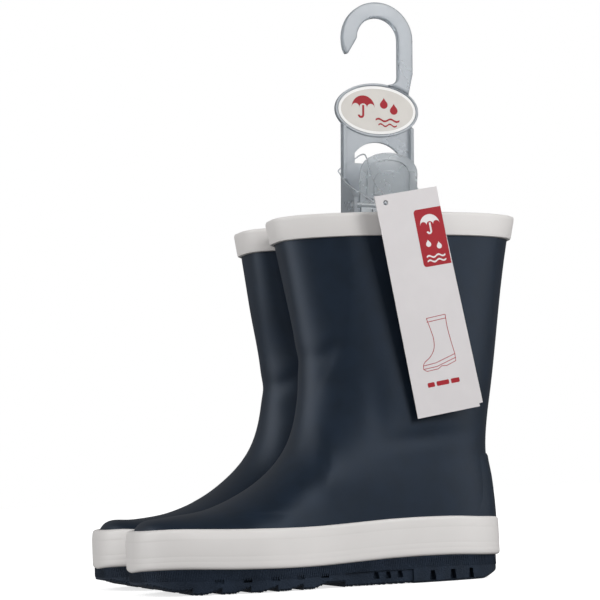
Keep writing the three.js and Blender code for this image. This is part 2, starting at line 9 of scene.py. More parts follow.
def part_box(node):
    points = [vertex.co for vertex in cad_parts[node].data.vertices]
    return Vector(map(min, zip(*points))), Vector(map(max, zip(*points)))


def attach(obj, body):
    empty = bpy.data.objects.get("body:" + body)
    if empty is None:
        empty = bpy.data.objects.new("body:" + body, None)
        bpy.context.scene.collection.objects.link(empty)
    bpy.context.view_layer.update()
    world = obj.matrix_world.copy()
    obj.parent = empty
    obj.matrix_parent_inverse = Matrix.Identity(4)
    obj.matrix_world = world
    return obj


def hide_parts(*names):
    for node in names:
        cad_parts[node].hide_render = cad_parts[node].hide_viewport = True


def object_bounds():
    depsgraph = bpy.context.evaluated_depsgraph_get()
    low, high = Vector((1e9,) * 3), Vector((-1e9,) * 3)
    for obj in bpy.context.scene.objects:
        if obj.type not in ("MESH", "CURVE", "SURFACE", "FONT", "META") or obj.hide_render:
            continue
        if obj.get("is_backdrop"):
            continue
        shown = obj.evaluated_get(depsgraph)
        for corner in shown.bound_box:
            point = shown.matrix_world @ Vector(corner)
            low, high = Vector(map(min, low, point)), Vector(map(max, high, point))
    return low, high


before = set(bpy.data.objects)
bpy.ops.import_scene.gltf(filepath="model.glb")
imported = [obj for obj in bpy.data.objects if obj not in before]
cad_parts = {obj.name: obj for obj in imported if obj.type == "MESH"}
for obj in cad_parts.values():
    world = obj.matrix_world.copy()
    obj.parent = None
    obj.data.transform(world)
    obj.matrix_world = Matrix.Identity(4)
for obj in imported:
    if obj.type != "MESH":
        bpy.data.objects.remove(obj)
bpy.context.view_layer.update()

# A pair of child's rubber deck boots on a clip hanger. Sizes are in millimetres, in the row frame: +Z up,
# toes towards -Y, left boot at +X. Every mesh is turned to metres as it is made.
MM = 0.001

# ------ sizes

FOOT_LENGTH = 178.5
HEIGHT = 176.0
SPACING = 74.0  # between the soles' centrelines
SEAM = 0.3  # between layers that are bonded or lie close
WALL_BASE = 11.4
TOE_HEIGHT = 35.0
BALL_HALF, WAIST_HALF, HEEL_HALF, SHAFT_HALF = 34.6, 28.0, 28.0, 26.4
UPPER_WALL = 1.5
LINING_OUT, LINING_IN = 2.7, 3.6  # insets of the lining's two faces
TURNED_IN = 10.0  # how far the skins turn in under the foot
INNER_BALL_LESS, INNER_WAIST_LESS = 1.6, 2.0  # how much narrower the foot is on its inner side
COLLAR_WALL, COLLAR_DEPTH, COLLAR_LIP = 1.4, 11.5, 1.4
COLLAR_GAP = 0.1  # between the two collars
FOXING_REACH = 2.55  # how far the foxing may stand out from the upper
FOXING_FACE, FOXING_TOP, FOXING_BOTTOM = -2.0, 29.4, 11.2
STRIP_FACE, STRIP_TOP = -0.6, 59.3
SOLE_EDGE, SOLE_TOP = -1.1, 11.4
FOOTBED_BOTTOM, FOOTBED_FRONT, FOOTBED_HEEL = 16.3, 3.0, 5.5

TOE_Y = -90.5
HEEL_Y = TOE_Y + FOOT_LENGTH

# Lines of the upper in the boot's middle plane: distance from the toe or the heel, and height.
FRONT_POINTS = [
    (74.5, HEIGHT), (79.4, 143), (83.8, 112), (83.8, 90), (77.6, 67), (62, 50.2),
    (38.5, TOE_HEIGHT + 3.8), (16.5, TOE_HEIGHT + 0.4), (6, TOE_HEIGHT - 0.9),
    (1.7, TOE_HEIGHT - 4.2), (0.2, TOE_HEIGHT - 9), (0, WALL_BASE),
]
BACK_POINTS = [
    (-22.1, HEIGHT), (-14.1, 142), (-4.9, 98), (0.2, 75), (2.2, 60), (1, 47), (0.1, 32), (0, WALL_BASE),
]


# ------ the boot's form

def smooth(a, b, x):
    t = np.clip((x - a) / (b - a), 0, 1)
    return t * t * (3 - 2 * t)


def mix(a, b, t):
    return a + (b - a) * t


def even_line(points, steps=160, fine=60):
    """A Catmull-Rom line through the points: evenly spaced places on it, and their directions."""
    p = np.array([points[0], *points, points[-1]], float)
    rows = []
    for i in range(1, len(p) - 2):
        t = np.linspace(0, 1, fine, endpoint=i == len(p) - 3)[:, None]
        a, b = (p[i + 1] - p[i - 1]) / 2, (p[i + 2] - p[i]) / 2
        rows.append((2 * p[i] - 2 * p[i + 1] + a + b) * t**3
                    + (-3 * p[i] + 3 * p[i + 1] - 2 * a - b) * t**2 + a * t + p[i])
    line = np.vstack(rows)
    along = np.r_[0, np.cumsum(np.linalg.norm(np.diff(line, axis=0), axis=1))]
    wanted = np.linspace(0, along[-1], steps + 1)
    even = np.column_stack([np.interp(wanted, along, line[:, k]) for k in (0, 1)])
    direction = np.gradient(even, axis=0)
    return even, direction / np.linalg.norm(direction, axis=1)[:, None]


FRONT = even_line([(TOE_Y + a, z) for a, z in FRONT_POINTS])
BACK = even_line([(HEEL_Y - a, z) for a, z in BACK_POINTS])


def superellipse(v, n):
    return np.maximum(0, 1 - np.abs(2 * v - 1) ** n) ** (1 / n)


def foot_width(v, side):
    """Half-width of the foot in plan; side is 1 outside and -1 inside."""
    ball, waist = BALL_HALF, WAIST_HALF
    if side < 0:
        ball, waist = ball - INNER_BALL_LESS, waist - INNER_WAIST_LESS
    middle = mix(ball * 1.07, waist, smooth(0.28, 0.55, v))
    return mix(middle, HEEL_HALF * 1.02, smooth(0.55, 0.85, v)) * superellipse(v, 2.7)


def drift(z):
    """How far the shaft has leant in at a height: 0 at the foot, 1 at the collar."""
    foot, top = 20, HEIGHT + 30
    return smooth(foot, top, z) / smooth(foot, top, HEIGHT)


class Form:
    """The boot's surface moved inwards by an inset, as closed rings in plan at given heights."""

    def __init__(self, inset):
        self.inset = inset
        self.front = FRONT[0] + inset * np.column_stack([-FRONT[1][:, 1], FRONT[1][:, 0]])
        self.back = BACK[0] - inset * np.column_stack([-BACK[1][:, 1], BACK[1][:, 0]])
        low = self.front[self.front[:, 1] < 90][::-1]
        self.low_y, self.low_z = np.maximum.accumulate(low[:, 0]), low[:, 1]

    def centre(self, z):
        collar = SHAFT_HALF + SEAM + COLLAR_WALL + COLLAR_GAP / 2
        return mix(SPACING / 2, collar, drift(z))

    def ends(self, z):
        return [np.interp(z, line[::-1, 1], line[::-1, 0]) for line in (self.front, self.back)]

    def half_width(self, y, z, side):
        front, back = self.ends(z)
        dome, ankle_foot, ankle_top = 22, 44, 84  # heights: the sides round over, and turn into the shaft
        v = np.clip((y - TOE_Y - self.inset) / (back - TOE_Y - self.inset), 0, 1)
        foot = np.maximum(0, foot_width(v, side) - self.inset)
        crown = np.interp(y, self.low_y, self.low_z)
        crown = crown + 9 * np.maximum(0, y - self.low_y[-1]) ** 1.5  # it fades out behind the instep
        share = np.clip((z - dome) / np.maximum(1, crown - dome), 0, 1)
        round_off = mix(3.2, 2.3, smooth(TOE_Y + 5, TOE_Y + 26, y))  # the toe box is the fullest
        over_foot = foot * (1 - share**round_off) ** (1 / round_off)
        along = np.clip((y - front) / (back - front), 0, 1)
        flat = 2.15 if side > 0 else mix(2.3, 4, smooth(110, HEIGHT, z))
        shaft = (SHAFT_HALF - self.inset) * superellipse(along, flat)
        return mix(over_foot, shaft, smooth(ankle_foot, ankle_top, z))

    def ring(self, z, half=20):
        front, back = self.ends(z)
        turn = np.arange(2 * half) / half * np.pi
        y = mix(front, back, (1 - np.cos(turn)) / 2)
        outer, inner = (self.half_width(y, z, side) for side in (1, -1))
        width = np.where(turn <= np.pi, outer, -inner)
        width[[0, half]] = 0
        return np.column_stack([self.centre(z) + width, y, np.full(2 * half, float(z))])

    def settle(self, x, y, z):
        """X of points already close to the form's sides, moved exactly onto it."""
        front, back = self.ends(z)
        along = (y - front) / (back - front)
        out = x - self.centre(z)
        width = np.where(out > 0, self.half_width(y, z, 1), self.half_width(y, z, -1))
        near = np.abs(width - np.abs(out))
        hold = smooth(0.03, 0.12, along) * (1 - smooth(0.9, 0.98, along)) * (1 - smooth(0.45, 0.7, near))
        return x + hold * np.sign(out) * (width - np.abs(out))

    def heights(self, top, bottom):
        """Heights of rings: spread along the front line, and closer together over the toe."""
        places = [*range(6, 112, 5), *range(112, 150, 2), *range(150, 160, 4)]
        inside = [self.front[i, 1] for i in places if bottom + 0.8 < self.front[i, 1] < top - 0.8]
        return [top, *inside, bottom]


# The row's origin lies midway between the foxing's toe and the back of the collar.
SHIFT_Y = -(TOE_Y - FOXING_REACH + Form(0).ends(HEIGHT)[1] + SEAM + COLLAR_WALL) / 2


# ------ meshes

def quad_grid(rows, columns, close_rows, close_columns):
    faces = []
    for r in range(rows if close_rows else rows - 1):
        for c in range(columns if close_columns else columns - 1):
            q, d = (r + 1) % rows, (c + 1) % columns
            faces.append((r * columns + c, q * columns + c, q * columns + d, r * columns + d))
    return faces


def capped_tube(rows, columns):
    """Faces through rows of points, closed by the first row and the last."""
    last = (rows - 1) * columns
    return [*quad_grid(rows, columns, False, True), tuple(range(columns)),
            tuple(last + i for i in reversed(range(columns)))]


def placed(name, data):
    """An object made of some data, in the scene."""
    obj = bpy.data.objects.new(name, data)
    bpy.context.collection.objects.link(obj)
    return obj


def frozen(obj):
    """The object's mesh as its modifiers leave it."""
    bpy.context.view_layer.update()
    return bpy.data.meshes.new_from_object(obj.evaluated_get(bpy.context.evaluated_depsgraph_get()))


def polyline(curve, points):
    line = curve.splines.new("POLY")
    line.points.add(len(points) - 1)
    for spot, p in zip(line.points, points):
        spot.co = (*p, 1)
    return line


def make_object(name, points, faces, sharp=40.0):
    """An object from points in millimetres in the row frame."""
    mesh = bpy.data.meshes.new(name)
    mesh.from_pydata([tuple(p) for p in np.asarray(points) * MM], [], faces)
    mesh.validate()
    return finish_object(name, mesh, sharp)


def finish_object(name, mesh, sharp=40.0):
    mesh.name = name
    mesh.shade_smooth()
    mesh.set_sharp_from_angle(angle=math.radians(sharp))
    return placed(name, mesh)


def baked(obj, sharp=40.0):
    """The object with its modifiers turned into plain mesh."""
    mesh = frozen(obj)
    name = obj.name
    bpy.data.objects.remove(obj)
    return finish_object(name, mesh, sharp)


def subdivided(obj, levels, sharp=40.0):
    modifier = obj.modifiers.new("Smooth", "SUBSURF")
    modifier.levels = modifier.render_levels = levels
    return baked(obj, sharp)


def vertices_of(obj):
    flat = np.empty(3 * len(obj.data.vertices))
    obj.data.vertices.foreach_get("co", flat)
    return flat.reshape(-1, 3) / MM


def move_vertices(obj, points):
    obj.data.vertices.foreach_set("co", (np.asarray(points) * MM).ravel())
    obj.data.update()


class Boot:
    """One side of the pair. Points are worked out for the left boot and mirrored for the right."""

    def __init__(self, side):
        self.side = side
        self.sign = 1 if side == "left" else -1

    def give(self, points):
        """How far the soft rubber gives: at the left boot's collar, and the right one's instep and vamp."""
        y, z = points[:, 1], points[:, 2]
        if self.sign > 0:
            along = smooth(70, 160, z) * (2.8 * smooth(48, -16, y) - 0.8 * smooth(70, 110, y))
            return np.column_stack([0 * y, along, 0 * y])
        along = 2.4 * smooth(36, 46, z) * (1 - 0.7 * smooth(90, 140, z)) * smooth(30, -5, y)
        from_toe = y - TOE_Y
        sunk = 1.5 * smooth(24, 34, z) * smooth(6, 20, from_toe) * smooth(70, 42, from_toe)
        return np.column_stack([0 * y, along, -sunk])

    def place(self, points):
        points = np.array(points, float)
        return (points + self.give(points)) * [self.sign, 1, 1] + [0, SHIFT_Y, 0]

    def skin(self, name, rows, faces, sharp, flipped):
        if flipped:
            faces = [f[::-1] for f in faces]
        return make_object(f"{self.side}_{name}", self.place(np.vstack(rows)), faces, sharp)

    def rings(self, name, rings, sharp=40.0):
        """A closed skin through rings, the last joined to the first."""
        return self.skin(name, rings, quad_grid(len(rings), len(rings[0]), True, True), sharp, self.sign > 0)

    def patch(self, name, outer, inner, sharp=40.0):
        """A closed plate: an outer grid of points over an inner one."""
        rows = [np.vstack([o, i[::-1]]) for o, i in zip(outer, inner)]
        return self.skin(name, rows, capped_tube(len(rows), len(rows[0])), sharp, self.sign > 0)


def facing(azimuth, elevation):
    """The direction at an angle round the pair and above the floor, and the turn that looks back from it."""
    a, e = math.radians(azimuth), math.radians(elevation)
    away = Vector((math.sin(a) * math.cos(e), -math.cos(a) * math.cos(e), math.sin(e)))
    return away, away.to_track_quat("Z", "Y").to_matrix().to_4x4()


# ------ materials

def srgb(code):
    channels = [int(code[i:i + 2], 16) / 255 for i in (0, 2, 4)]
    return (*[c / 12.92 if c <= 0.04045 else ((c + 0.055) / 1.055) ** 2.4 for c in channels], 1.0)


def wire(made, **inputs):
    """Sets a node's inputs, named by their sockets, with _ for a space, or i and a number."""
    for key, value in inputs.items():
        if key[0] == "i" and key[1:].isdigit():
            socket = made.inputs[int(key[1:])]
        else:
            socket = made.inputs[key.replace("_", " ")]
        if isinstance(value, bpy.types.NodeSocket):
            made.id_data.links.new(value, socket)
        else:
            socket.default_value = value
    return made


def node(tree, kind, settings=None, **inputs):
    """Adds a node: a shader's, unless its kind says otherwise."""
    made = tree.nodes.new(kind if "Node" in kind else "ShaderNode" + kind)
    for key, value in (settings or {}).items():
        setattr(made, key, value)
    return wire(made, **inputs)


def new_material(name):
    material = bpy.data.materials.new(name)
    material.use_nodes = True
    tree = material.node_tree
    tree.nodes.clear()
    shader = node(tree, "BsdfPrincipled")
    node(tree, "OutputMaterial", Surface=shader.outputs[0])
    return material, tree, shader, node(tree, "TexCoord").outputs["Object"]


def per_mm(size):
    """A noise scale, per metre, whose features are about a size in millimetres."""
    return 1000 / size


def wave_scale(pitch):
    """A wave texture's scale, for bands that lie a pitch apart in millimetres."""
    return 1000 / pitch / 20 * math.pi


def two_colours(tree, share, dark, light):
    colour = node(tree, "Mix", {"data_type": "RGBA"}, i0=share, i6=srgb(dark), i7=srgb(light))
    return colour.outputs[2]


def moulded(name, dark, light, roughness, grain=0.4, depth=0.01, patch=9.0, rolled=False, **shader_values):
    """A moulded or pressed surface: two close colours in soft patches, and a fine even grain.

    Rolled adds the faint lines that a calender's rollers leave."""
    material, tree, shader, place = new_material(name)
    wire(shader, **shader_values)
    patches = node(tree, "TexNoise", Vector=place, Scale=per_mm(patch), Detail=3.0)
    ramp = node(tree, "MapRange", Value=patches.outputs[0], From_Min=0.35, From_Max=0.65)
    low, high = roughness
    rough = node(tree, "MapRange", Value=patches.outputs[0], To_Min=low, To_Max=high)
    fine = node(tree, "TexNoise", Vector=place, Scale=per_mm(grain), Detail=2.0)
    bump = node(tree, "Bump", Height=fine.outputs[0], Strength=0.35, Distance=depth * MM)
    if rolled:
        lines = node(tree, "TexWave", {"bands_direction": "Z"}, Vector=place,
                     Scale=wave_scale(2.6), Distortion=0.4)
        bump = node(tree, "Bump", Height=lines.outputs["Fac"], Strength=0.12,
                    Distance=0.05 * MM, Normal=bump.outputs[0])
    wire(shader, Base_Color=two_colours(tree, ramp.outputs[0], dark, light), Roughness=rough.outputs[0],
         Normal=bump.outputs[0])
    return material


def knitted(name, dark, light, wale, course, depth):
    """A knit: rows of small loops, wale apart across and course apart down, with painted shade in the
    hollows between them.
    """
    material, tree, shader, place = new_material(name)
    bands = []
    for direction, pitch in (("Y", wale), ("Z", course)):
        wave = node(tree, "TexWave", {"bands_direction": direction}, Vector=place,
                    Scale=wave_scale(pitch), Distortion=0.6, Detail=1.0)
        bands.append(wave.outputs["Fac"])
    loops = node(tree, "Math", {"operation": "MULTIPLY"}, i0=bands[0], i1=bands[1])
    bump = node(tree, "Bump", Height=loops.outputs[0], Strength=0.7, Distance=depth * MM)
    # The colour follows the loops' height: the hollows between them are painted darker, as shade.
    wire(shader, Base_Color=two_colours(tree, loops.outputs[0], dark, light), Roughness=0.95,
         Sheen_Weight=0.3, Sheen_Roughness=0.5, Normal=bump.outputs[0])
    return material


# Vulcanised rubber, dipped and matted: a soft wide sheen and an almost even navy.
NAVY = moulded("navy vulcanised rubber", "0D1824", "101C2A", (0.47, 0.52), grain=0.5, depth=0.03,
               Specular_Tint=srgb("DDEBFF"))
# Moulded sole rubber: dull, with the fine tooth of a spark-worn mould.
SOLE = moulded("black-navy sole rubber", "121A25", "1D2633", (0.58, 0.78), grain=0.7, depth=1.3,
               Specular_Tint=srgb("D5E6FF"))
# Calendered rubber strip: even and slightly shiny.
WHITE = moulded("white calendered rubber", "DDDAD8", "E0DDDB", (0.44, 0.48), grain=0.8, depth=0.015,
                patch=30, rolled=True)
# Cotton jersey bonded inside the rubber.
JERSEY = knitted("grey cotton jersey", "8C8A86", "B9B6B0", 1.1, 0.8, 0.25)
# Needled felt on the footbed: fluffy, with no direction.
FELT = moulded("needled felt", "8F8B85", "B2AEA7", (0.95, 1.0), grain=0.7, depth=0.5, patch=2.5,
               Sheen_Weight=0.4, Sheen_Roughness=0.6)
# Pressed fibreboard, stiffener sheet and filler, all hidden inside the boot.
FIBRE = moulded("pressed fibreboard", "8E7657", "A88F6B", (0.8, 0.95), grain=0.9, depth=0.1, patch=4)
STIFF = moulded("stiffener sheet", "B59E7C", "C4AF8E", (0.6, 0.75), grain=0.7, depth=0.05, patch=5)
SPONGE = moulded("open sponge", "2C2C2E", "3E3E41", (0.9, 1.0), grain=1.2, depth=0.6, patch=3)
# Styrene-butadiene clip, moulded from regrind: cloudy grey, glossy skin, lets light through.
STYRENE = {"grain": 6, "depth": 0.02, "patch": 14, "Transmission_Weight": 0.6, "IOR": 1.57}
# The hanger and the jaw are one plastic in two copies: the hanger's is painted darker, as shade, and the
# jaw's lighter, as light.
SHADED_STYRENE = moulded("cloudy styrene, painted shade", "A6ADB4", "B0B6BC", (0.24, 0.34), **STYRENE)
LIT_STYRENE = moulded("clear styrene", "C6CCD0", "D0D5D9", (0.22, 0.32), **STYRENE)
# Coated board and label film: a white clay coating, slightly warm, with a flat satin face.
CARD = moulded("coated board", "D9D5D6", "DCD8D9", (0.4, 0.5), patch=12)
FIELD = moulded("label paper", "D3CFC9", "D8D4CE", (0.35, 0.45), patch=8)
LABEL_RIM = moulded("white label film", "F2F1EF", "F6F5F3", (0.3, 0.38))
INK = moulded("crimson print", "A0101F", "A61424", (0.5, 0.58))
WHITE_INK = moulded("reversed-out board", "E4E0E0", "E9E5E5", (0.4, 0.48))
NYLON = moulded("clear nylon", "C9CED3", "D5DADE", (0.15, 0.22), grain=3, Transmission_Weight=0.8, IOR=1.53)


def dress(obj, material, body, slot, *nodes):
    obj.data.materials.clear()
    obj.data.materials.append(material)
    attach(obj, body)
    if nodes:
        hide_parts(*nodes)
    return obj


# ------ camera

VIEW_AZIMUTH, VIEW_ELEVATION, VIEW_ROLL = 72.0, -5.0, math.radians(-2.4)
VIEW_TARGET = Vector((37.0, -4.9 + SHIFT_Y, 135.8)) * MM
VIEW_DISTANCE = 0.9998

camera_data = bpy.data.cameras.new("Camera")
camera_data.sensor_width = 36.0
camera_data.lens = 125.38
camera_data.clip_start, camera_data.clip_end = 0.01, 50
camera = placed("Camera", camera_data)
towards_camera, turn = facing(VIEW_AZIMUTH, VIEW_ELEVATION)
camera.matrix_world = (Matrix.Translation(VIEW_TARGET + towards_camera * VIEW_DISTANCE) @ turn
                       @ Matrix.Rotation(VIEW_ROLL, 4, "Z"))
bpy.context.scene.camera = camera

# ------ the hanger's own frame

LEAN = math.radians(2.4)
CLIP_Y = mix(*Form(0).ends(HEIGHT), 0.543) + SHIFT_Y
PLATE = 1.8
TRUNNION = 1.6
PIVOT_X, PIVOT_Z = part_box("clip_jaw")[0][0] / MM + TRUNNION, 9.2
PINCH = PIVOT_X - PLATE / 2  # X of the face of the leg in the left boot
PLATE_FACE, PLATE_BACK = -PINCH, -PINCH - PLATE
HANGER_HALF = 19.1
HOOK_OUTER, HOOK_INNER, HOOK_Z, HOOK_THICK = 19.2, 11.1, 97.6, 4.0
OVAL_HALF, OVAL_TALL, OVAL_Z = 22.5, 13.9, 60.8
WINDOW_HALF, WINDOW_TOP, WINDOW_FOOT = 12.0, 44.2, 33.0
LEG_DEPTH, LEG_INSET, RAIL_FOOT = 24.0, 2.6, 2.2
RAIL_WALL, RAIL_DEPTH, EAR = 1.8, 3.0, 3.4

HANG = Matrix.Translation((0, CLIP_Y, HEIGHT)) @ Matrix.Rotation(-LEAN, 4, "X")
HOLE_Y, HOLE_Z = -22.3, 1.8  # of the hole that the tag hangs by
TAG_HOLE = HANG @ Vector((0, HOLE_Y, HOLE_Z))
TAG_TILT = math.radians(9.06)
TAG_HANG = Matrix.Translation(TAG_HOLE) @ Matrix.Rotation(TAG_TILT, 4, "X")
CARD_THICK, CARD_GAP = 0.4, 0.3
TAG_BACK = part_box("tag_back_leaf")[0][0] / MM
COVER_FACE = TAG_BACK + 2 * CARD_THICK + CARD_GAP

# ------ the nylon loop

LOCK_HALF = 1.3
LOOP_RADIUS = 0.35
# The loop leaves the lock's top, goes round the window's side and the rail, and ends in the lock's side.
LOCK_X = TAG_BACK - CARD_GAP - LOCK_HALF
LOCK_SIDE = LOCK_HALF + SEAM
LOOP_BACK = PLATE_BACK - SEAM - LOOP_RADIUS
RAIL_SIDE = -HANGER_HALF - SEAM - LOOP_RADIUS
LOOP_POINTS = [
    (LOCK_X, HOLE_Y, HOLE_Z + LOCK_SIDE), (LOCK_X - 1.5, HOLE_Y + 0.6, HOLE_Z + 4),
    (48, -20.4, 12.5), (33, -17.8, 21), (18, -14.6, 31), (4, -11.2, 35.6),
    (PLATE_FACE + 1, 1.6 - WINDOW_HALF, 36.4), (PLATE_BACK + 0.3, 1.2 - WINDOW_HALF, 35.8),
    (LOOP_BACK - 0.5, -WINDOW_HALF - 1.5, 34.2), (LOOP_BACK - 0.4, 2 - HANGER_HALF, 31.5),
    (PLATE_BACK - 0.6, RAIL_SIDE - 0.3, 29), (PLATE_FACE, RAIL_SIDE - 0.2, 27),
    (6, -22.4, 21.4), (20, -24.2, 16.4), (36, -25.8, 11.4), (52, -26.4, 6),
    (LOCK_X - 2.5, -25.6, HOLE_Z + 0.6), (LOCK_X, HOLE_Y - LOCK_SIDE, HOLE_Z),
]


def thread(points, fine=10):
    """Points along a centripetal Catmull-Rom curve through some points."""
    p = [Vector(q) for q in points]
    p = [p[0] * 2 - p[1], *p, p[-1] * 2 - p[-2]]
    line = []
    for i in range(1, len(p) - 2):
        t = [0.0]
        for k in range(i - 1, i + 2):
            t.append(t[-1] + max((p[k + 1] - p[k]).length, 1e-6) ** 0.5)
        for step in range(fine):
            u = mix(t[1], t[2], step / fine)
            a = [p[i - 1 + k].lerp(p[i + k], (u - t[k]) / (t[k + 1] - t[k])) for k in range(3)]
            b = [a[k].lerp(a[k + 1], (u - t[k]) / (t[k + 2] - t[k])) for k in range(2)]
            line.append(b[0].lerp(b[1], (u - t[1]) / (t[2] - t[1])))
    return [*line, p[-2]]


loop_line = [HANG @ p for p in thread(LOOP_POINTS)]
loop_curve = bpy.data.curves.new("tag_loop_thread", "CURVE")
loop_curve.dimensions = "3D"
loop_curve.bevel_depth = LOOP_RADIUS * MM
loop_curve.bevel_resolution = 2
polyline(loop_curve, [p * MM for p in loop_line])
loop_piece = placed("tag_loop_thread", loop_curve)
dress(loop_piece, NYLON, "hanger", "nylon", "tag_loop")

# ------ the boots

# The foxing strip and the top of the sole rise and fall a little along the foot.
WAVE = even_line([(TOE_Y - 4 + a, z) for a, z in (
    (0, 0), (18, 0.7), (47, -0.4), (84, -0.8), (122, 0.9), (149, 1.0), (170, 0.0), (190, -0.9))])[0]
# The heel of the strip and the sole is drawn in, almost flush with the upper.
HEEL_DRAWN, SOLE_DRAWN = 1.2, 2.3


def wave(y):
    return np.interp(y, WAVE[:, 0], WAVE[:, 1])


def drawn_in(ring, depth=HEEL_DRAWN):
    ring = ring.copy()
    ring[:, 1] -= depth * smooth(HEEL_Y - 30, HEEL_Y, ring[:, 1])
    return ring


def waved(ring):
    ring = ring.copy()
    ring[:, 2] += wave(ring[:, 1])
    return ring


def hollow(boot, name, outer_inset, inner_inset, base, floor, levels):
    """A smooth skin between two insets, open at the collar and turned in under the foot."""
    outside, inside, margin = (Form(i) for i in (outer_inset, inner_inset, inner_inset + TURNED_IN))
    top = HEIGHT - COLLAR_LIP - SEAM
    rings = [outside.ring(z) for z in outside.heights(top, base)]
    rings += [margin.ring(base), margin.ring(base + floor)]
    rings += [inside.ring(z) for z in inside.heights(top, base + floor)[::-1]]
    return subdivided(boot.rings(name, rings), levels)


def make_upper(boot):
    """The rubber shell, with the soft creases of its ankle."""
    shell = hollow(boot, "upper_shell", 0, UPPER_WALL, WALL_BASE, UPPER_WALL, 2)
    p = vertices_of(shell)
    x, y, z = p[:, 0] * boot.sign, p[:, 1] - SHIFT_Y, p[:, 2]
    x = Form(0).settle(x, y, z)
    sideways = np.clip((x - Form(0).centre(z)) / SHAFT_HALF, -1, 1)
    height = 108 if boot.sign > 0 else 98

    def hump(size, across, at_y, down, at_z, slope=0.0):
        """A soft mound or, with a size below 0, a dent; slope tips it along the foot."""
        along = y - at_y
        return size * np.exp(-((along / across) ** 2) - (((z - at_z - slope * along) / down) ** 2))

    # The pinch at the front of the ankle, and the ridge above it.
    crease = hump(-1.25, 7, 1, 4, height, 0.5) + hump(0.6, 9, 3, 6, height + 9, 0.4)
    crease += hump(-0.6, 6, 6, 5, height - 12, -0.6) + hump(0.4, 8, 2, 6, height - 20)
    # A long shallow fold down the side, and one across above the heel.
    crease += hump(-0.6, 5, 24, 16, 84) + hump(-0.7, 22, 52, 4, 68, 0.08)
    # The front line gives a little at the pinch too.
    pulled = 0.9 * np.exp(-(((z - height) / 5) ** 2)) * smooth(18, -12, y)
    y = y + pulled
    x = x + crease * sideways
    move_vertices(shell, np.column_stack([x * boot.sign, y + SHIFT_Y, z]))
    return dress(shell, NAVY, "boots", "navy_rubber", f"{boot.side}_upper")


def make_foxing(boot):
    """The white strip, with a rounded lip and three shallow grooves along it."""
    face, bottom = FOXING_FACE, FOXING_BOTTOM
    section = [(0.3, FOXING_TOP), (face + 1.0, FOXING_TOP), (face + 0.45, FOXING_TOP - 0.2),
               (face + 0.12, FOXING_TOP - 0.7), (face, FOXING_TOP - 1.5)]
    for z in (bottom + 13.2, bottom + 6.0, bottom + 3.6):
        section += [(face - 0.05, z + 0.6), (face - 0.04, z + 0.3), (face - 0.01, z), (face - 0.04, z - 0.3)]
    section += [(face - 0.05, bottom + 1.5), (face + 0.15, bottom + 0.7), (face + 0.6, bottom + 0.2),
                (face + 1.2, bottom), (0.3, bottom)]
    rings = []
    for inset, z in section:
        ring = drawn_in(waved(Form(inset).ring(z, 90)))
        if z < 14:  # the strip is pulled down a little at the very toe
            ring[:, 2] -= 0.9 * np.exp(-(((ring[:, 0] - SPACING / 2) / 9) ** 2)) * (ring[:, 1] < TOE_Y + 20)
        rings.append(ring)
    strip = boot.rings("foxing_strip", rings)
    return dress(strip, WHITE, "boots", "white_rubber", f"{boot.side}_foxing")


def make_collar(boot):
    face, foot = -SEAM - COLLAR_WALL, HEIGHT - COLLAR_DEPTH
    section = [
        (LINING_IN - 0.1, HEIGHT - 0.9), (LINING_IN - 0.5, HEIGHT - 0.2), (1.2, HEIGHT),
        (face + 1.3, HEIGHT), (face + 0.5, HEIGHT - 0.2), (face + 0.1, HEIGHT - 0.9), (face, HEIGHT - 2),
        (face + 0.15, foot + 1.2), (face + 0.35, foot + 0.3), (face + 0.9, foot), (0.2, foot),
        (0.2, HEIGHT - COLLAR_LIP), (LINING_IN - 0.1, HEIGHT - COLLAR_LIP),
    ]
    band = boot.rings("collar_strip", [Form(inset).ring(z, 72) for inset, z in section])
    return dress(band, WHITE, "boots", "white_rubber", f"{boot.side}_collar_band")


def make_lining(boot):
    base, thick = WALL_BASE + UPPER_WALL + SEAM, 0.9
    sock = hollow(boot, "jersey_lining", LINING_OUT, LINING_IN, base, thick, 1)
    return dress(sock, JERSEY, "boots", "jersey", f"{boot.side}_lining")


def make_heel_strip(boot):
    """The strip up the back of the heel: full at its middle, and thinned out to its top and sides."""
    half, reach = 84, 17
    picked = np.arange(half - reach, half + reach + 1)
    sideways = np.abs(picked - half) / reach
    heights = np.linspace(FOXING_TOP - 1.2, STRIP_TOP, 24)[::-1]
    outer = []
    for z in heights:
        full, bare = Form(STRIP_FACE).ring(z, half)[picked], Form(0.15).ring(z, half)[picked]
        share = (1 - smooth(0.5, 1.0, sideways)) * (0.35 + 0.65 * smooth(0, 1.4, STRIP_TOP - z))
        outer.append(mix(bare, full, share[:, None]))
    inner = [Form(0.4).ring(z, half)[picked] for z in heights]
    strip = boot.patch("heel_strip_pad", outer, inner, 60)
    return dress(strip, NAVY, "boots", "navy_rubber", f"{boot.side}_heel_strip")


def make_footbed(boot):
    """The felt footbed: thicker under the heel, dished a little, with a soft rolled edge."""
    edge_inset = LINING_IN + 1.1
    # Each ring's distance in from the edge, and its share of the full thickness.
    steps = [(0.0, 0.0), (0.0, 0.55), (0.25, 0.85), (1.0, 1.0), (4.0, 1.0), (9.0, 0.93), (15.0, 0.86),
             (22.0, 0.82)]
    rings = []
    for inset, share in steps:
        ring = Form(edge_inset + inset).ring(WALL_BASE + 2, 40)
        thick = mix(FOOTBED_FRONT, FOOTBED_HEEL, np.clip((ring[:, 1] + 10) / 55, 0, 1))
        ring[:, 2] = FOOTBED_BOTTOM + thick * share
        rings.append(ring)
    middle = rings[-1].copy()
    middle[:, 0] = Form(edge_inset).centre(WALL_BASE)
    rings.append(middle)
    under = middle.copy()
    under[:, 2] = FOOTBED_BOTTOM
    rings.append(under)
    pad = boot.rings("felt_footbed", rings[::-1], 60)
    pad.data.validate()
    dress(pad, FELT, "boots", "felt", f"{boot.side}_footbed")
    return pad


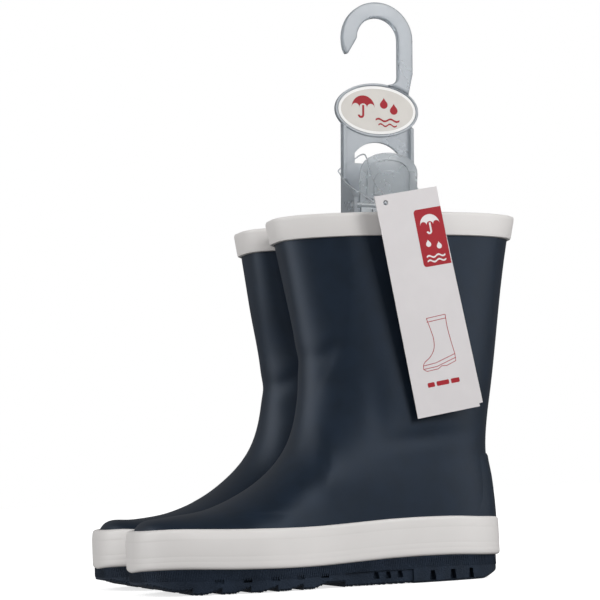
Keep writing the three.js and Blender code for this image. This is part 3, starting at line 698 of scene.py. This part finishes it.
# The tread: saw-toothed bars under the ball, and a heel block with notches in its edge.
BAR_PITCH, BAR_STEP, BAR_FLAT = 12.7, 2.2, 0.45
BAR_COUNT = 6
BARS_START = TOE_Y + 7
BARS_END = BARS_START + BAR_COUNT * BAR_PITCH
HEEL_START, LEDGE_END = 2.0, 36.0
WAIST_LIFT = 2.4
GROOVE = 3.2
# The middles of each kind of notch, and how far it reaches from its narrow top to its wide foot.
HEEL_NOTCHES = [HEEL_Y - 20.5 - i * 10.8 for i in range(3)]
LEDGE_NOTCHES = [17.6 + i * 5.9 for i in range(3)]
SIDE_NOTCHES = [BARS_START + (i + 0.9) * BAR_PITCH for i in range(1, BAR_COUNT)]
NOTCHES = ((HEEL_NOTCHES, (0.9, 1.25, 1.6)), (LEDGE_NOTCHES, (0.8, 1.1, 1.4)), (SIDE_NOTCHES, (2.0,)))


def roughness_of_edge(y):
    """The worn, uneven edge that coarse moulded teeth leave along the tread."""
    return 0.22 * math.sin(5.1 * y) + 0.16 * math.sin(8.3 * y + 1.0) + 0.1 * math.sin(2.2 * y)


def tread_height(y):
    """Height of the lowest line of the sole at a place along it."""
    spring = 5.0 * smooth(TOE_Y + 22, TOE_Y - 2, y)
    if y < BARS_START:
        return spring + roughness_of_edge(y) + 0.4
    if y < BARS_END:
        t = ((y - BARS_START) / BAR_PITCH) % 1.0
        tooth = BAR_STEP * max(0.0, (t - BAR_FLAT) / (1 - BAR_FLAT))
        return spring + tooth + max(0.0, 0.3 + roughness_of_edge(y))
    if y < HEEL_START:
        return WAIST_LIFT + 0.5 * roughness_of_edge(y)
    rough = max(0.0, 0.3 + roughness_of_edge(y)) if y < LEDGE_END else 0.0
    return rough + 3.2 * smooth(HEEL_Y - 13, HEEL_Y + 1, y)


def side_inset(y, z):
    """How far the sole's side is set back at a place."""
    for middle in HEEL_NOTCHES:
        if abs(y - middle) < mix(1.6, 0.9, (z - 1) / 4.4) and 1.0 < z < 5.4:
            return 3.0
    for middle in LEDGE_NOTCHES:
        if abs(y - middle) < mix(1.4, 0.8, (z - 3) / 3) and 3.0 < z < 6.0:
            return 3.2
    if HEEL_START < y < LEDGE_END and z < 6.6:
        return 1.0
    for i, middle in enumerate(SIDE_NOTCHES):
        if abs(y - middle) < 2.0 and 5.0 < z < 6.8:
            return 2.6 if i % 3 == 1 else 0.8
    return 0.0


def make_sole(boot):
    """The outsole, as slices across the foot."""
    edge = Form(SOLE_EDGE)
    front, back = edge.ends(WALL_BASE)
    breaks = [BARS_START + i * BAR_PITCH for i in range(BAR_COUNT + 1)] + [HEEL_START, LEDGE_END]
    for middles, reach in NOTCHES:
        breaks += [middle + turn * r for middle in middles for r in reach for turn in (-1, 1)]
    turns = np.linspace(0, np.pi, 60)[1:-1]
    rows = [*mix(front, back, (1 - np.cos(turns)) / 2), *np.arange(TOE_Y, HEEL_Y - 2, 0.55)]
    rows = sorted([y for y in rows if min(abs(y - b) for b in breaks) > 0.08]
                  + [b + d for b in breaks for d in (-0.03, 0.03)])
    # Heights of the side's corners, and places across the underside, both close together at each step.
    levels = [0.9, 1.05, 2.5, 2.9, 3.05, 4.2, 4.95, 5.05, 5.35, 5.45, 5.95, 6.05, 6.55, 6.65, 6.75, 6.85, 9]
    across = [-0.92, -0.8, -0.78, -0.45, -0.14, -0.12, 0.12, 0.14, 0.45, 0.78, 0.8, 0.92]
    slices = []
    for y in rows:
        widths = [float(edge.half_width(np.array([y]), WALL_BASE, side)[0]) for side in (1, -1)]
        centre, low = edge.centre(WALL_BASE), tread_height(y)
        top = SOLE_TOP + float(wave(np.array([y]))[0])
        section = []
        for side, width in ((1, widths[0]), (-1, -widths[1])):
            wall = [(centre + width - side * min(0.3, abs(width)), top)]
            for z in levels[::-1]:
                lifted = max(z, low + 0.9)
                wall.append((centre + width - side * min(side_inset(y, z), 0.7 * abs(width)), lifted))
            wall.append((centre + width - side * min(side_inset(y, 0) + 0.8, 0.8 * abs(width)), low))
            section.append(wall)
        under = []
        for v in across[::-1]:
            width = widths[0] if v > 0 else widths[1]
            depth = 0.0
            groove_y = ((y - BARS_START) / BAR_PITCH) % 1.0 > BAR_FLAT + 0.15 and BARS_START < y < BARS_END
            if abs(v) < 0.79 and groove_y or abs(v) < 0.13 and y < BARS_END and y > TOE_Y + 16:
                depth = GROOVE
            if HEEL_START + 12 < y < HEEL_Y - 16 and abs(v) < 0.46:
                depth = GROOVE
            under.append((centre + v * (width - 1), low + depth))
        loop = section[0] + under + section[1][::-1]
        slices.append(drawn_in(np.array([(x, y, z) for x, z in loop]), SOLE_DRAWN))
    faces = capped_tube(len(slices), len(slices[0]))
    sole = boot.skin("treaded_sole", slices, faces, 35, boot.sign < 0)
    return dress(sole, SOLE, "boots", "sole_rubber", f"{boot.side}_outsole")


RIB_VALUES = {"Pitch": 1.15 * MM, "Width": 0.5 * MM, "Depth": 0.75 * MM, "Height": 4.6 * MM, "Slant": 0.22}


def rib_tree():
    """Geometry Nodes: a row of small leaning ribs along a line, at a pitch."""
    tree = bpy.data.node_groups.new("Ribs along the sole", "GeometryNodeTree")
    face = tree.interface
    face.new_socket("Geometry", in_out="INPUT", socket_type="NodeSocketGeometry")
    for name, value in RIB_VALUES.items():
        face.new_socket(name, in_out="INPUT", socket_type="NodeSocketFloat").default_value = value
    face.new_socket("Material", in_out="INPUT", socket_type="NodeSocketMaterial")
    face.new_socket("Geometry", in_out="OUTPUT", socket_type="NodeSocketGeometry")
    given = node(tree, "NodeGroupInput").outputs
    line = node(tree, "GeometryNodeMeshToCurve", Mesh=given["Geometry"])
    spaced = node(tree, "GeometryNodeResampleCurve", {"mode": "LENGTH"}, Curve=line.outputs[0],
                  Length=given["Pitch"])
    tangent = node(tree, "GeometryNodeInputTangent")
    turned = node(tree, "FunctionNodeAlignEulerToVector", {"axis": "X", "pivot_axis": "Z"},
                  Vector=tangent.outputs[0])
    size = node(tree, "CombineXYZ", X=given["Width"], Y=given["Depth"], Z=given["Height"])
    bar = node(tree, "GeometryNodeMeshCube", Size=size.outputs[0])
    slant = node(tree, "CombineXYZ", Y=given["Slant"])
    leaning = node(tree, "GeometryNodeTransform", Geometry=bar.outputs[0], Rotation=slant.outputs[0])
    ribs = node(tree, "GeometryNodeInstanceOnPoints", Points=spaced.outputs[0],
                Instance=leaning.outputs[0], Rotation=turned.outputs[0])
    real = node(tree, "GeometryNodeRealizeInstances", Geometry=ribs.outputs[0])
    coloured = node(tree, "GeometryNodeSetMaterial", Geometry=real.outputs[0], Material=given["Material"])
    node(tree, "NodeGroupOutput", i0=coloured.outputs[0])
    return tree


RIBS = rib_tree()


def make_ribs(boot):
    """The fine slanted ribs round the sole's side, above the tread."""
    ring = drawn_in(Form(SOLE_EDGE + 0.12).ring(WALL_BASE, 160), SOLE_DRAWN)
    ring[:, 2] = 8.6 + 0.8 * wave(ring[:, 1])
    points = boot.place(ring)
    mesh = bpy.data.meshes.new(f"{boot.side}_sole_ribs")
    count = len(points)
    mesh.from_pydata([tuple(p) for p in points * MM], [(i, (i + 1) % count) for i in range(count)], [])
    line = placed(f"{boot.side}_sole_ribs", mesh)
    modifier = line.modifiers.new("Ribs", "NODES")
    modifier.node_group = RIBS
    values = {**RIB_VALUES, "Material": SOLE}
    for item in RIBS.interface.items_tree:
        if item.in_out == "INPUT" and item.name in values:
            modifier[item.identifier] = values[item.name]
    return dress(baked(line), SOLE, "boots", "sole_rubber")


for boot in (Boot("left"), Boot("right")):
    make_upper(boot)
    make_foxing(boot)
    make_collar(boot)
    make_lining(boot)
    make_heel_strip(boot)
    make_footbed(boot)
    make_sole(boot)
    make_ribs(boot)
    for piece, material in (("heel_stiffener", STIFF), ("toe_puff", STIFF), ("sole_filler", SPONGE),
                            ("insole_board", FIBRE)):
        hidden = bpy.data.objects[f"{boot.side}_{piece}"]
        for slot in hidden.material_slots:
            slot.material = material

# ------ plates and prints

ALONG_X = Matrix(((0, 0, 1, 0), (1, 0, 0, 0), (0, 1, 0, 0), (0, 0, 0, 1)))  # drawn in Y and Z
ALONG_Y = Matrix(((1, 0, 0, 0), (0, 0, -1, 0), (0, 1, 0, 0), (0, 0, 0, 1)))  # drawn in X and Z
EDGE_ANGLE = 20.0  # degrees; a sharper turn than this shows as an edge


def slab(name, outlines, low, high, place, bevel=0.0):
    """A flat piece: outlines drawn in its plane, and its two faces' places along its thickness."""
    curve = bpy.data.curves.new(name, "CURVE")
    curve.dimensions = "2D"
    curve.fill_mode = "BOTH"
    curve.extrude = (high - low) / 2 - bevel
    curve.bevel_depth = bevel
    curve.bevel_resolution = 2
    curve.offset = -bevel
    for outline in outlines:
        polyline(curve, [(a, b, 0) for a, b in outline]).use_cyclic_u = True
    obj = placed(name, curve)
    mesh = frozen(obj)
    bpy.data.objects.remove(obj)
    centre = Matrix.Translation((0, 0, (low + high) / 2))
    mesh.transform(Matrix.Scale(MM, 4) @ place @ centre)
    tidy(mesh)
    return finish_object(name, mesh, EDGE_ANGLE)


def tidy(mesh):
    work = bmesh.new()
    work.from_mesh(mesh)
    bmesh.ops.remove_doubles(work, verts=work.verts, dist=0.004 * MM)
    bmesh.ops.recalc_face_normals(work, faces=work.faces)
    work.to_mesh(mesh)
    work.free()


def joined(name, pieces):
    """The union of some closed pieces."""
    first, *rest = pieces
    for other in rest:
        modifier = first.modifiers.new("Join", "BOOLEAN")
        modifier.operation = "UNION"
        modifier.solver = "MANIFOLD"
        modifier.object = other
        mesh = frozen(first)
        first.modifiers.clear()
        first.data = mesh
        bpy.data.objects.remove(other)
    mesh = first.data
    bpy.data.objects.remove(first)
    obj = finish_object(name, mesh, EDGE_ANGLE)
    obj.modifiers.new("Flat faces stay flat", "WEIGHTED_NORMAL").keep_sharp = True
    obj.data = frozen(obj)
    obj.modifiers.clear()
    return obj


def arc(centre, radius, start, end, count=16):
    """Points on an arc; angles in degrees, and the radius one number or two."""
    a, b = radius if isinstance(radius, tuple) else (radius, radius)
    angles = [math.radians(mix(start, end, i / count)) for i in range(count + 1)]
    return [(centre[0] + a * math.cos(t), centre[1] + b * math.sin(t)) for t in angles]


def bezier(a, b, c, d, count=12):
    points = []
    for i in range(count + 1):
        t = i / count
        points.append(tuple(
            (1 - t) ** 3 * a[k] + 3 * t * (1 - t) ** 2 * b[k] + 3 * t * t * (1 - t) * c[k] + t**3 * d[k]
            for k in (0, 1)))
    return points


def oval(shrink, count=72):
    return arc((0, OVAL_Z), (OVAL_HALF - shrink, OVAL_TALL - shrink), 0, 360 - 360 / count, count - 1)


def rounded(low, high, radii):
    """A rectangle with its own radius at each corner: low left, low right, high right, high left."""
    (x0, y0), (x1, y1) = low, high
    corners = [((x0, y0), 1, 1, 180), ((x1, y0), -1, 1, 270), ((x1, y1), -1, -1, 0), ((x0, y1), 1, -1, 90)]
    points = []
    for ((x, y), dx, dy, start), r in zip(corners, radii):
        if r:
            points += arc((x + dx * r, y + dy * r), r, start, start + 90, 6)
        else:
            points.append((x, y))
    return points


# ------ the hanger

HOOK = [
    *arc((0, HOOK_Z), HOOK_OUTER, 0, 180, 36),
    *bezier((-HOOK_OUTER, HOOK_Z), (-HOOK_OUTER, HOOK_Z - 4), (-HOOK_OUTER + 0.8, HOOK_Z - 7.4),
            (-HOOK_OUTER + 2.2, HOOK_Z - 8.6), 5)[1:],
    (-HOOK_OUTER + 3.4, HOOK_Z - 8.2), (-HOOK_INNER - 0.4, HOOK_Z - 0.8),
    *arc((0, HOOK_Z), HOOK_INNER, 180, 0, 28),
    *bezier((HOOK_INNER, OVAL_Z + 18.5), (HOOK_INNER, OVAL_Z + 15.5), (HOOK_INNER - 1, OVAL_Z + 14.2),
            (HOOK_INNER - 5, OVAL_Z + 13.4), 6),
    *arc((0, OVAL_Z), (OVAL_HALF - 0.5, OVAL_TALL - 0.5), 74, 40, 10), (HOOK_OUTER, HOOK_Z - 17),
]
leg_half = HANGER_HALF - LEG_INSET
plate_side = [(leg_half - 1, -LEG_DEPTH), (leg_half, 1 - LEG_DEPTH), (leg_half, RAIL_FOOT),
              (HANGER_HALF, RAIL_FOOT), (HANGER_HALF, OVAL_Z)]
PLATE_OUTLINE = [(-a, b) for a, b in plate_side[3::-1]] + plate_side + [(-HANGER_HALF, OVAL_Z)]
arch_spring, arch_pull = WINDOW_TOP - 6, WINDOW_TOP + 2
WINDOW = [
    (-WINDOW_HALF, WINDOW_FOOT),
    *bezier((-WINDOW_HALF, arch_spring), (-WINDOW_HALF / 2, arch_pull), (WINDOW_HALF / 2, arch_pull),
            (WINDOW_HALF, arch_spring), 14),
    (WINDOW_HALF, WINDOW_FOOT),
]
RAIL = [
    (PLATE_BACK + 0.2, RAIL_FOOT), (PIVOT_X + EAR, RAIL_FOOT), (PIVOT_X + EAR, PIVOT_Z + EAR),
    (PLATE_FACE + RAIL_DEPTH, PIVOT_Z + 15), (PLATE_FACE + RAIL_DEPTH, OVAL_Z - 9),
    (PLATE_BACK + 0.2, OVAL_Z - 7),
]
hole = arc((PIVOT_X, PIVOT_Z), TRUNNION + 0.35, 0, 345, 23)
at_hanger = HANG @ ALONG_X
pieces = [
    slab("frame_plate", [PLATE_OUTLINE, WINDOW], PLATE_BACK, PLATE_FACE, at_hanger, 0.3),
    slab("hook_blade", [HOOK], PLATE_BACK + 0.05, PLATE_BACK + HOOK_THICK, at_hanger, 0.9),
    slab("oval_back", [oval(0)], PLATE_BACK + 0.1, PLATE_FACE - 0.05, at_hanger, 0.3),
    slab("oval_rim", [oval(0), oval(1.2)], PLATE_FACE - 0.6, PLATE_FACE + 0.75, at_hanger, 0.3),
]
for inner in (HANGER_HALF - RAIL_WALL, -HANGER_HALF):
    pieces.append(slab("rail", [RAIL, hole], -inner - RAIL_WALL, -inner, HANG @ ALONG_Y, 0.3))
# The hanger takes the copy of the plastic that is painted darker, as shade.
dress(joined("moulded_hanger", pieces), SHADED_STYRENE, "hanger", "clear_plastic", "hanger_body")

# The jaw: a leg, ribs, an axle and a thumb tab with raised arches on its face.
TAB_HALF, TAB_TALL, JAW_LEG_HALF = 15.2, 30.0, 14.5
tab_lean = math.tan(math.radians(6))
TAB_PLACE = HANG @ Matrix(((1, 0, tab_lean, PIVOT_X - PLATE / 2), (0, 1, 0, 0), (0, 0, 1, PIVOT_Z),
                           (0, 0, 0, 1))) @ ALONG_X


def arch(half, tall, foot=0.0):
    spring = tall - half * 0.9
    crown = bezier((-half, spring), (-half, tall), (half, tall), (half, spring), 20)
    return [(-half, foot), *crown, (half, foot)]


pieces = [
    slab("jaw_leg", [rounded((-JAW_LEG_HALF, -LEG_DEPTH), (JAW_LEG_HALF, PIVOT_Z), (1, 1, 0, 0))],
         PINCH, PINCH + PLATE, HANG @ ALONG_X, 0.25),
    slab("thumb_tab", [arch(TAB_HALF, TAB_TALL)], 0, PLATE, TAB_PLACE, 0.3),
    slab("tab_ridge", [arch(TAB_HALF - 3.4, TAB_TALL - 3.6, 3), arch(TAB_HALF - 4.4, TAB_TALL - 4.8, 4)],
         PLATE - 0.4, PLATE + 0.8, TAB_PLACE, 0.2),
    slab("tab_pad", [arch(8.0, 19.5, 5)], PLATE - 0.4, PLATE + 0.6, TAB_PLACE, 0.3),
    slab("axle", [arc((PIVOT_X, PIVOT_Z), TRUNNION, 0, 345, 23)], -HANGER_HALF + 0.05, HANGER_HALF - 0.05,
         HANG @ ALONG_Y, 0.2),
]
RIB_HALF = 0.7
rib = rounded((PINCH + 0.5, 3 - LEG_DEPTH), (PINCH + PLATE + 1.2, PIVOT_Z - 2), (0, 0.5, 0.5, 0))
for y in (-8.0, 0.0, 8.0):
    pieces.append(slab("leg_rib", [rib], y - RIB_HALF, y + RIB_HALF, HANG @ ALONG_Y, 0.15))
# The jaw takes the copy of the plastic that is painted lighter, as light.
dress(joined("moulded_jaw", pieces), LIT_STYRENE, "jaw", "clear_plastic", "clip_jaw")


# ------ prints: drops, waves and an umbrella

def drop(centre, size):
    """A falling drop, its point upwards."""
    x, y = centre
    return [(x, y + 1.5 * size), *bezier((x, y + 1.5 * size), (x + 0.3 * size, y + 0.8 * size),
            (x + size, y + 0.4 * size), (x + size, y - 0.2 * size), 6)[1:],
            *arc((x, y - 0.2 * size), size, 0, -180, 12)[1:],
            *bezier((x - size, y - 0.2 * size), (x - size, y + 0.4 * size), (x - 0.3 * size, y + 0.8 * size),
                    (x, y + 1.5 * size), 6)[1:-1]]


def ripple(centre, length, swing, thick, turns=2.0, count=32):
    """A wavy bar."""
    x, y = centre
    upper = []
    for i in range(count + 1):
        t = i / count
        upper.append((x + (t - 0.5) * length, y + swing * math.sin(t * turns * 2 * math.pi) + thick / 2))
    return upper + [(a, b - thick) for a, b in reversed(upper)]


def umbrella(centre, size):
    """An open umbrella: a canopy with three scallops, and a hooked handle."""
    x, y = centre
    canopy = arc((x, y), size, 0, 180, 24)
    for k in (-2, 0, 2):
        canopy += arc((x + k * size / 3, y), size / 3, 180, 0, 8)[1:]
    w = 0.09 * size
    bend = (x - 0.19 * size, y - 0.62 * size)
    stick = [(x - w, y + 0.2 * size), (x - w, y - 0.62 * size), *arc(bend, 0.1 * size, 0, -180, 8),
             *arc(bend, 0.28 * size, 180, 360, 12), (x + w, y + 0.2 * size)]
    return canopy, stick


PRINT_SUNK, PRINT_RISE = 0.02, 0.03  # how far a mark reaches into its ground, and stands out of it
MARK_STEP = 0.001  # each mark lies this much above the last
label_x = PLATE_FACE + SEAM
field_x = label_x + 0.3
ink_x = label_x + 0.34
label_rim = slab("label_rim", [oval(1.5)], label_x, field_x, at_hanger)
dress(label_rim, LABEL_RIM, "hanger", "label_paper", "size_label")
dress(slab("label_field", [oval(2.9)], field_x, ink_x, at_hanger), FIELD, "hanger", "label_paper")
for k, outline in enumerate((
    *umbrella((-7.6, OVAL_Z + 1.0), 6.2), drop((3.6, OVAL_Z + 3.4), 2.1), drop((9.0, OVAL_Z + 0.6), 2.1),
    ripple((5.6, OVAL_Z - 5.0), 13, 0.6, 1.0), ripple((5.6, OVAL_Z - 7.6), 10, 0.6, 0.8),
)):
    top = ink_x + PRINT_RISE + MARK_STEP * k
    mark = slab(f"label_mark_{k}", [outline], ink_x - PRINT_SUNK, top, at_hanger)
    dress(mark, INK, "hanger", "label_paper")

# ------ the swing tag

TAG_WIDTH, TAG_LENGTH = 32.0, 106.7
HOLE_IN, HOLE_DOWN, HOLE_RADIUS = 4.9, 3.8, 1.25
at_tag = TAG_HANG @ ALONG_X


def leaf(name, length, low, skew=0.0):
    """One leaf of the folded card; skew is how far its foot has slid sideways."""
    left, right_edge, foot = -HOLE_IN, TAG_WIDTH - HOLE_IN, HOLE_DOWN - length
    outline = [(skew + left, foot), (right_edge + skew, foot + skew / 4), (right_edge, HOLE_DOWN),
               (left, HOLE_DOWN)]
    return slab(name, [outline, arc((0, 0), HOLE_RADIUS, 0, 345, 23)], low, low + CARD_THICK, at_tag)


dress(leaf("card_back", TAG_LENGTH - 1, TAG_BACK, 2.2), CARD, "tag", "card", "tag_back_leaf")
front_leaf = leaf("card_front", TAG_LENGTH, TAG_BACK + CARD_THICK + CARD_GAP)
dress(front_leaf, CARD, "tag_cover", "card", "tag_front_leaf")

# Marks on the front leaf: places are across from its left edge and down from its top.


def on_card(across, down):
    return across - HOLE_IN, HOLE_DOWN - down


def pen(points, width):
    """A closed stroke along a line of points."""
    p = [Vector(q) for q in points]
    left, right_side = [], []
    for i, q in enumerate(p):
        a, b = p[max(i - 1, 0)], p[min(i + 1, len(p) - 1)]
        along = (b - a).normalized()
        side = Vector((-along.y, along.x)) * width / 2
        left.append(tuple(q + side))
        right_side.append(tuple(q - side))
    return left + right_side[::-1]


def curve_through(points):
    return [(v.x, v.y) for v in thread([(*q, 0) for q in points], 6)]


def on_panel(sideways, down):
    """A place from the panel's middle line, and down from the card's top."""
    return panel_middle + sideways, on_card(0, down)[1]


PANEL_WIDTH, PANEL_TOP, PANEL_FOOT, PANEL_ROUND = 14.2, 9.6, 37.2, 1.6
PANEL_MARK_RISE = 0.05
panel_low, panel_high = on_card(TAG_WIDTH - PANEL_WIDTH, PANEL_FOOT), on_card(TAG_WIDTH, PANEL_TOP)
panel = rounded(panel_low, (panel_high[0] - 0.02, panel_high[1]), (PANEL_ROUND, 0, 0, PANEL_ROUND))
marks = [("red_panel", [panel], INK, PRINT_RISE)]
panel_middle = (panel_low[0] + panel_high[0]) / 2
for k, outline in enumerate((
    *umbrella(on_panel(0, 17.5), 5.0), drop(on_panel(-2.6, 26.4), 1.3), drop(on_panel(2.6, 28.0), 1.3),
    ripple(on_panel(0, 32.6), 9.6, 0.5, 0.8), ripple(on_panel(0, 34.8), 9.6, 0.5, 0.8),
)):
    marks.append((f"panel_mark_{k}", [outline], WHITE_INK, PANEL_MARK_RISE + MARK_STEP * k))

# A pictogram of a boot in thin lines.
STROKE = 0.32
BARS_TOP, BARS_FOOT = 91.2, 93.4
boot_left, boot_top = 7.4, 60.5
leg = [(6.4, 0.6), (7.4, 6), (8.0, 11), (7.2, 15.4), (4.6, 18.8), (1.2, 21.0), (0.3, 22.4)]
back = [(16.2, 0.2), (16.0, 6), (16.4, 12), (17.2, 19.4)]
lines = [
    curve_through(leg), curve_through(back), [(6.4, 0.6), (16.2, 0.2)], [(6.2, 2.4), (16.1, 2.0)],
    [(0.3, 22.4), (7, 22.0), (17.2, 19.4)], [(0.1, 24.0), (7, 23.8), (17.4, 21.2)],
    [(0.3, 22.4), (0.1, 24.0), (1.6, 25.2), (7.6, 25.0), (9.4, 23.9), (12, 24.2), (17.0, 22.8),
     (17.2, 19.4)],
]
for k, line in enumerate(lines):
    path = [on_card(boot_left + a, boot_top + b) for a, b in line]
    marks.append((f"pictogram_{k}", [pen(path, STROKE)], INK, PRINT_RISE + MARK_STEP * k))
for k, (start, width) in enumerate(((8.0, 3.6), (12.6, 6.4), (20.0, 4.4))):
    low, high = on_card(start, BARS_FOOT), on_card(start + width, BARS_TOP)
    marks.append((f"word_bar_{k}", [rounded(low, high, (0.5,) * 4)], INK, PRINT_RISE))
for name, outlines, material, rise in marks:
    mark = slab(name, outlines, COVER_FACE - PRINT_SUNK, COVER_FACE + rise, at_tag)
    dress(mark, material, "tag_cover", "card")

# The lock behind the card: a small moulded socket with a rounded bead that ends in the front leaf's hole.
at_lock = HANG @ Matrix.Translation((0, HOLE_Y, HOLE_Z)) @ ALONG_X
socket = rounded((-LOCK_HALF, -LOCK_HALF), (LOCK_HALF, LOCK_HALF), (0.7,) * 4)
behind = TAG_BACK - CARD_GAP
pieces = [
    slab("lock_socket", [socket], behind - 2 * LOCK_HALF, behind, at_lock, 0.3),
    slab("lock_bead", [arc((0, 0), 0.75, 0, 345, 23)], behind - 1, COVER_FACE - 0.05, at_lock, 0.2),
]
dress(joined("moulded_lock", pieces), NYLON, "hanger", "nylon", "loop_lock")

# ------ floor, light

# The floor brightens away from the boots, so that it meets the white backdrop with no edge.
floor_material, floor_tree, floor_shader, floor_place = new_material("pale studio floor")
spread = node(floor_tree, "VectorMath", {"operation": "LENGTH"}, i0=floor_place)
glow = node(floor_tree, "MapRange", Value=spread.outputs["Value"], From_Min=0.08, From_Max=0.5,
            To_Min=0.7, To_Max=1.0)
wire(floor_shader, Base_Color=srgb("F2F2F2"), Roughness=0.9, Emission_Color=(1, 1, 1, 1),
     Emission_Strength=glow.outputs[0])
FLOOR_HALF, FLOOR_Z = 6000, -0.2
corners = [(x * FLOOR_HALF, y * FLOOR_HALF, FLOOR_Z) for x, y in ((-1, -1), (1, -1), (1, 1), (-1, 1))]
floor = make_object("studio_floor", corners, [(0, 1, 2, 3)])
floor.data.materials.append(floor_material)
floor.visible_diffuse = floor.visible_glossy = floor.visible_transmission = False
floor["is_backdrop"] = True


LIT_Z = 110  # the height that the lights are turned to


def softbox(name, azimuth, elevation, distance, size, power, glossy=True):
    """An area light that faces the pair: angles in degrees, distance and size in metres, power in watts."""
    data = bpy.data.lights.new(name, "AREA")
    data.shape = "RECTANGLE"
    data.size, data.size_y = size
    data.energy = power
    away, turn = facing(azimuth, elevation)
    light = placed(name, data)
    light.visible_glossy = glossy
    light.matrix_world = Matrix.Translation(Vector((0, 0, LIT_Z)) * MM + away * distance) @ turn


softbox("key softbox", 118, 28, 1.5, (0.35, 0.4), 6, glossy=False)
softbox("side softbox", 110, 24, 1.5, (0.55, 0.7), 5.5)
softbox("right softbox", 152, 14, 1.4, (0.5, 1.3), 4.5)
softbox("left softbox", -8, 14, 1.4, (1.0, 1.5), 13)
softbox("front fill", 60, 16, 1.8, (1.2, 1.0), 7, glossy=False)

world = bpy.data.worlds.new("Studio")
bpy.context.scene.world = world
world.use_nodes = True
sky = world.node_tree
sky.nodes.clear()
rays = node(sky, "LightPath").outputs
seen = node(sky, "Math", {"operation": "MAXIMUM"}, i0=rays["Is Camera Ray"],
            i1=rays["Is Transmission Ray"]).outputs[0]
room = node(sky, "Background", Color=(1, 1, 1, 1), Strength=0.2)
backdrop = node(sky, "Background", Color=(1, 1, 1, 1), Strength=1.0)
both = node(sky, "MixShader", i0=seen, i1=room.outputs[0], i2=backdrop.outputs[0])
node(sky, "OutputWorld", Surface=both.outputs[0])
bpy.context.scene.view_settings.view_transform = "Standard"

low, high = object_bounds()
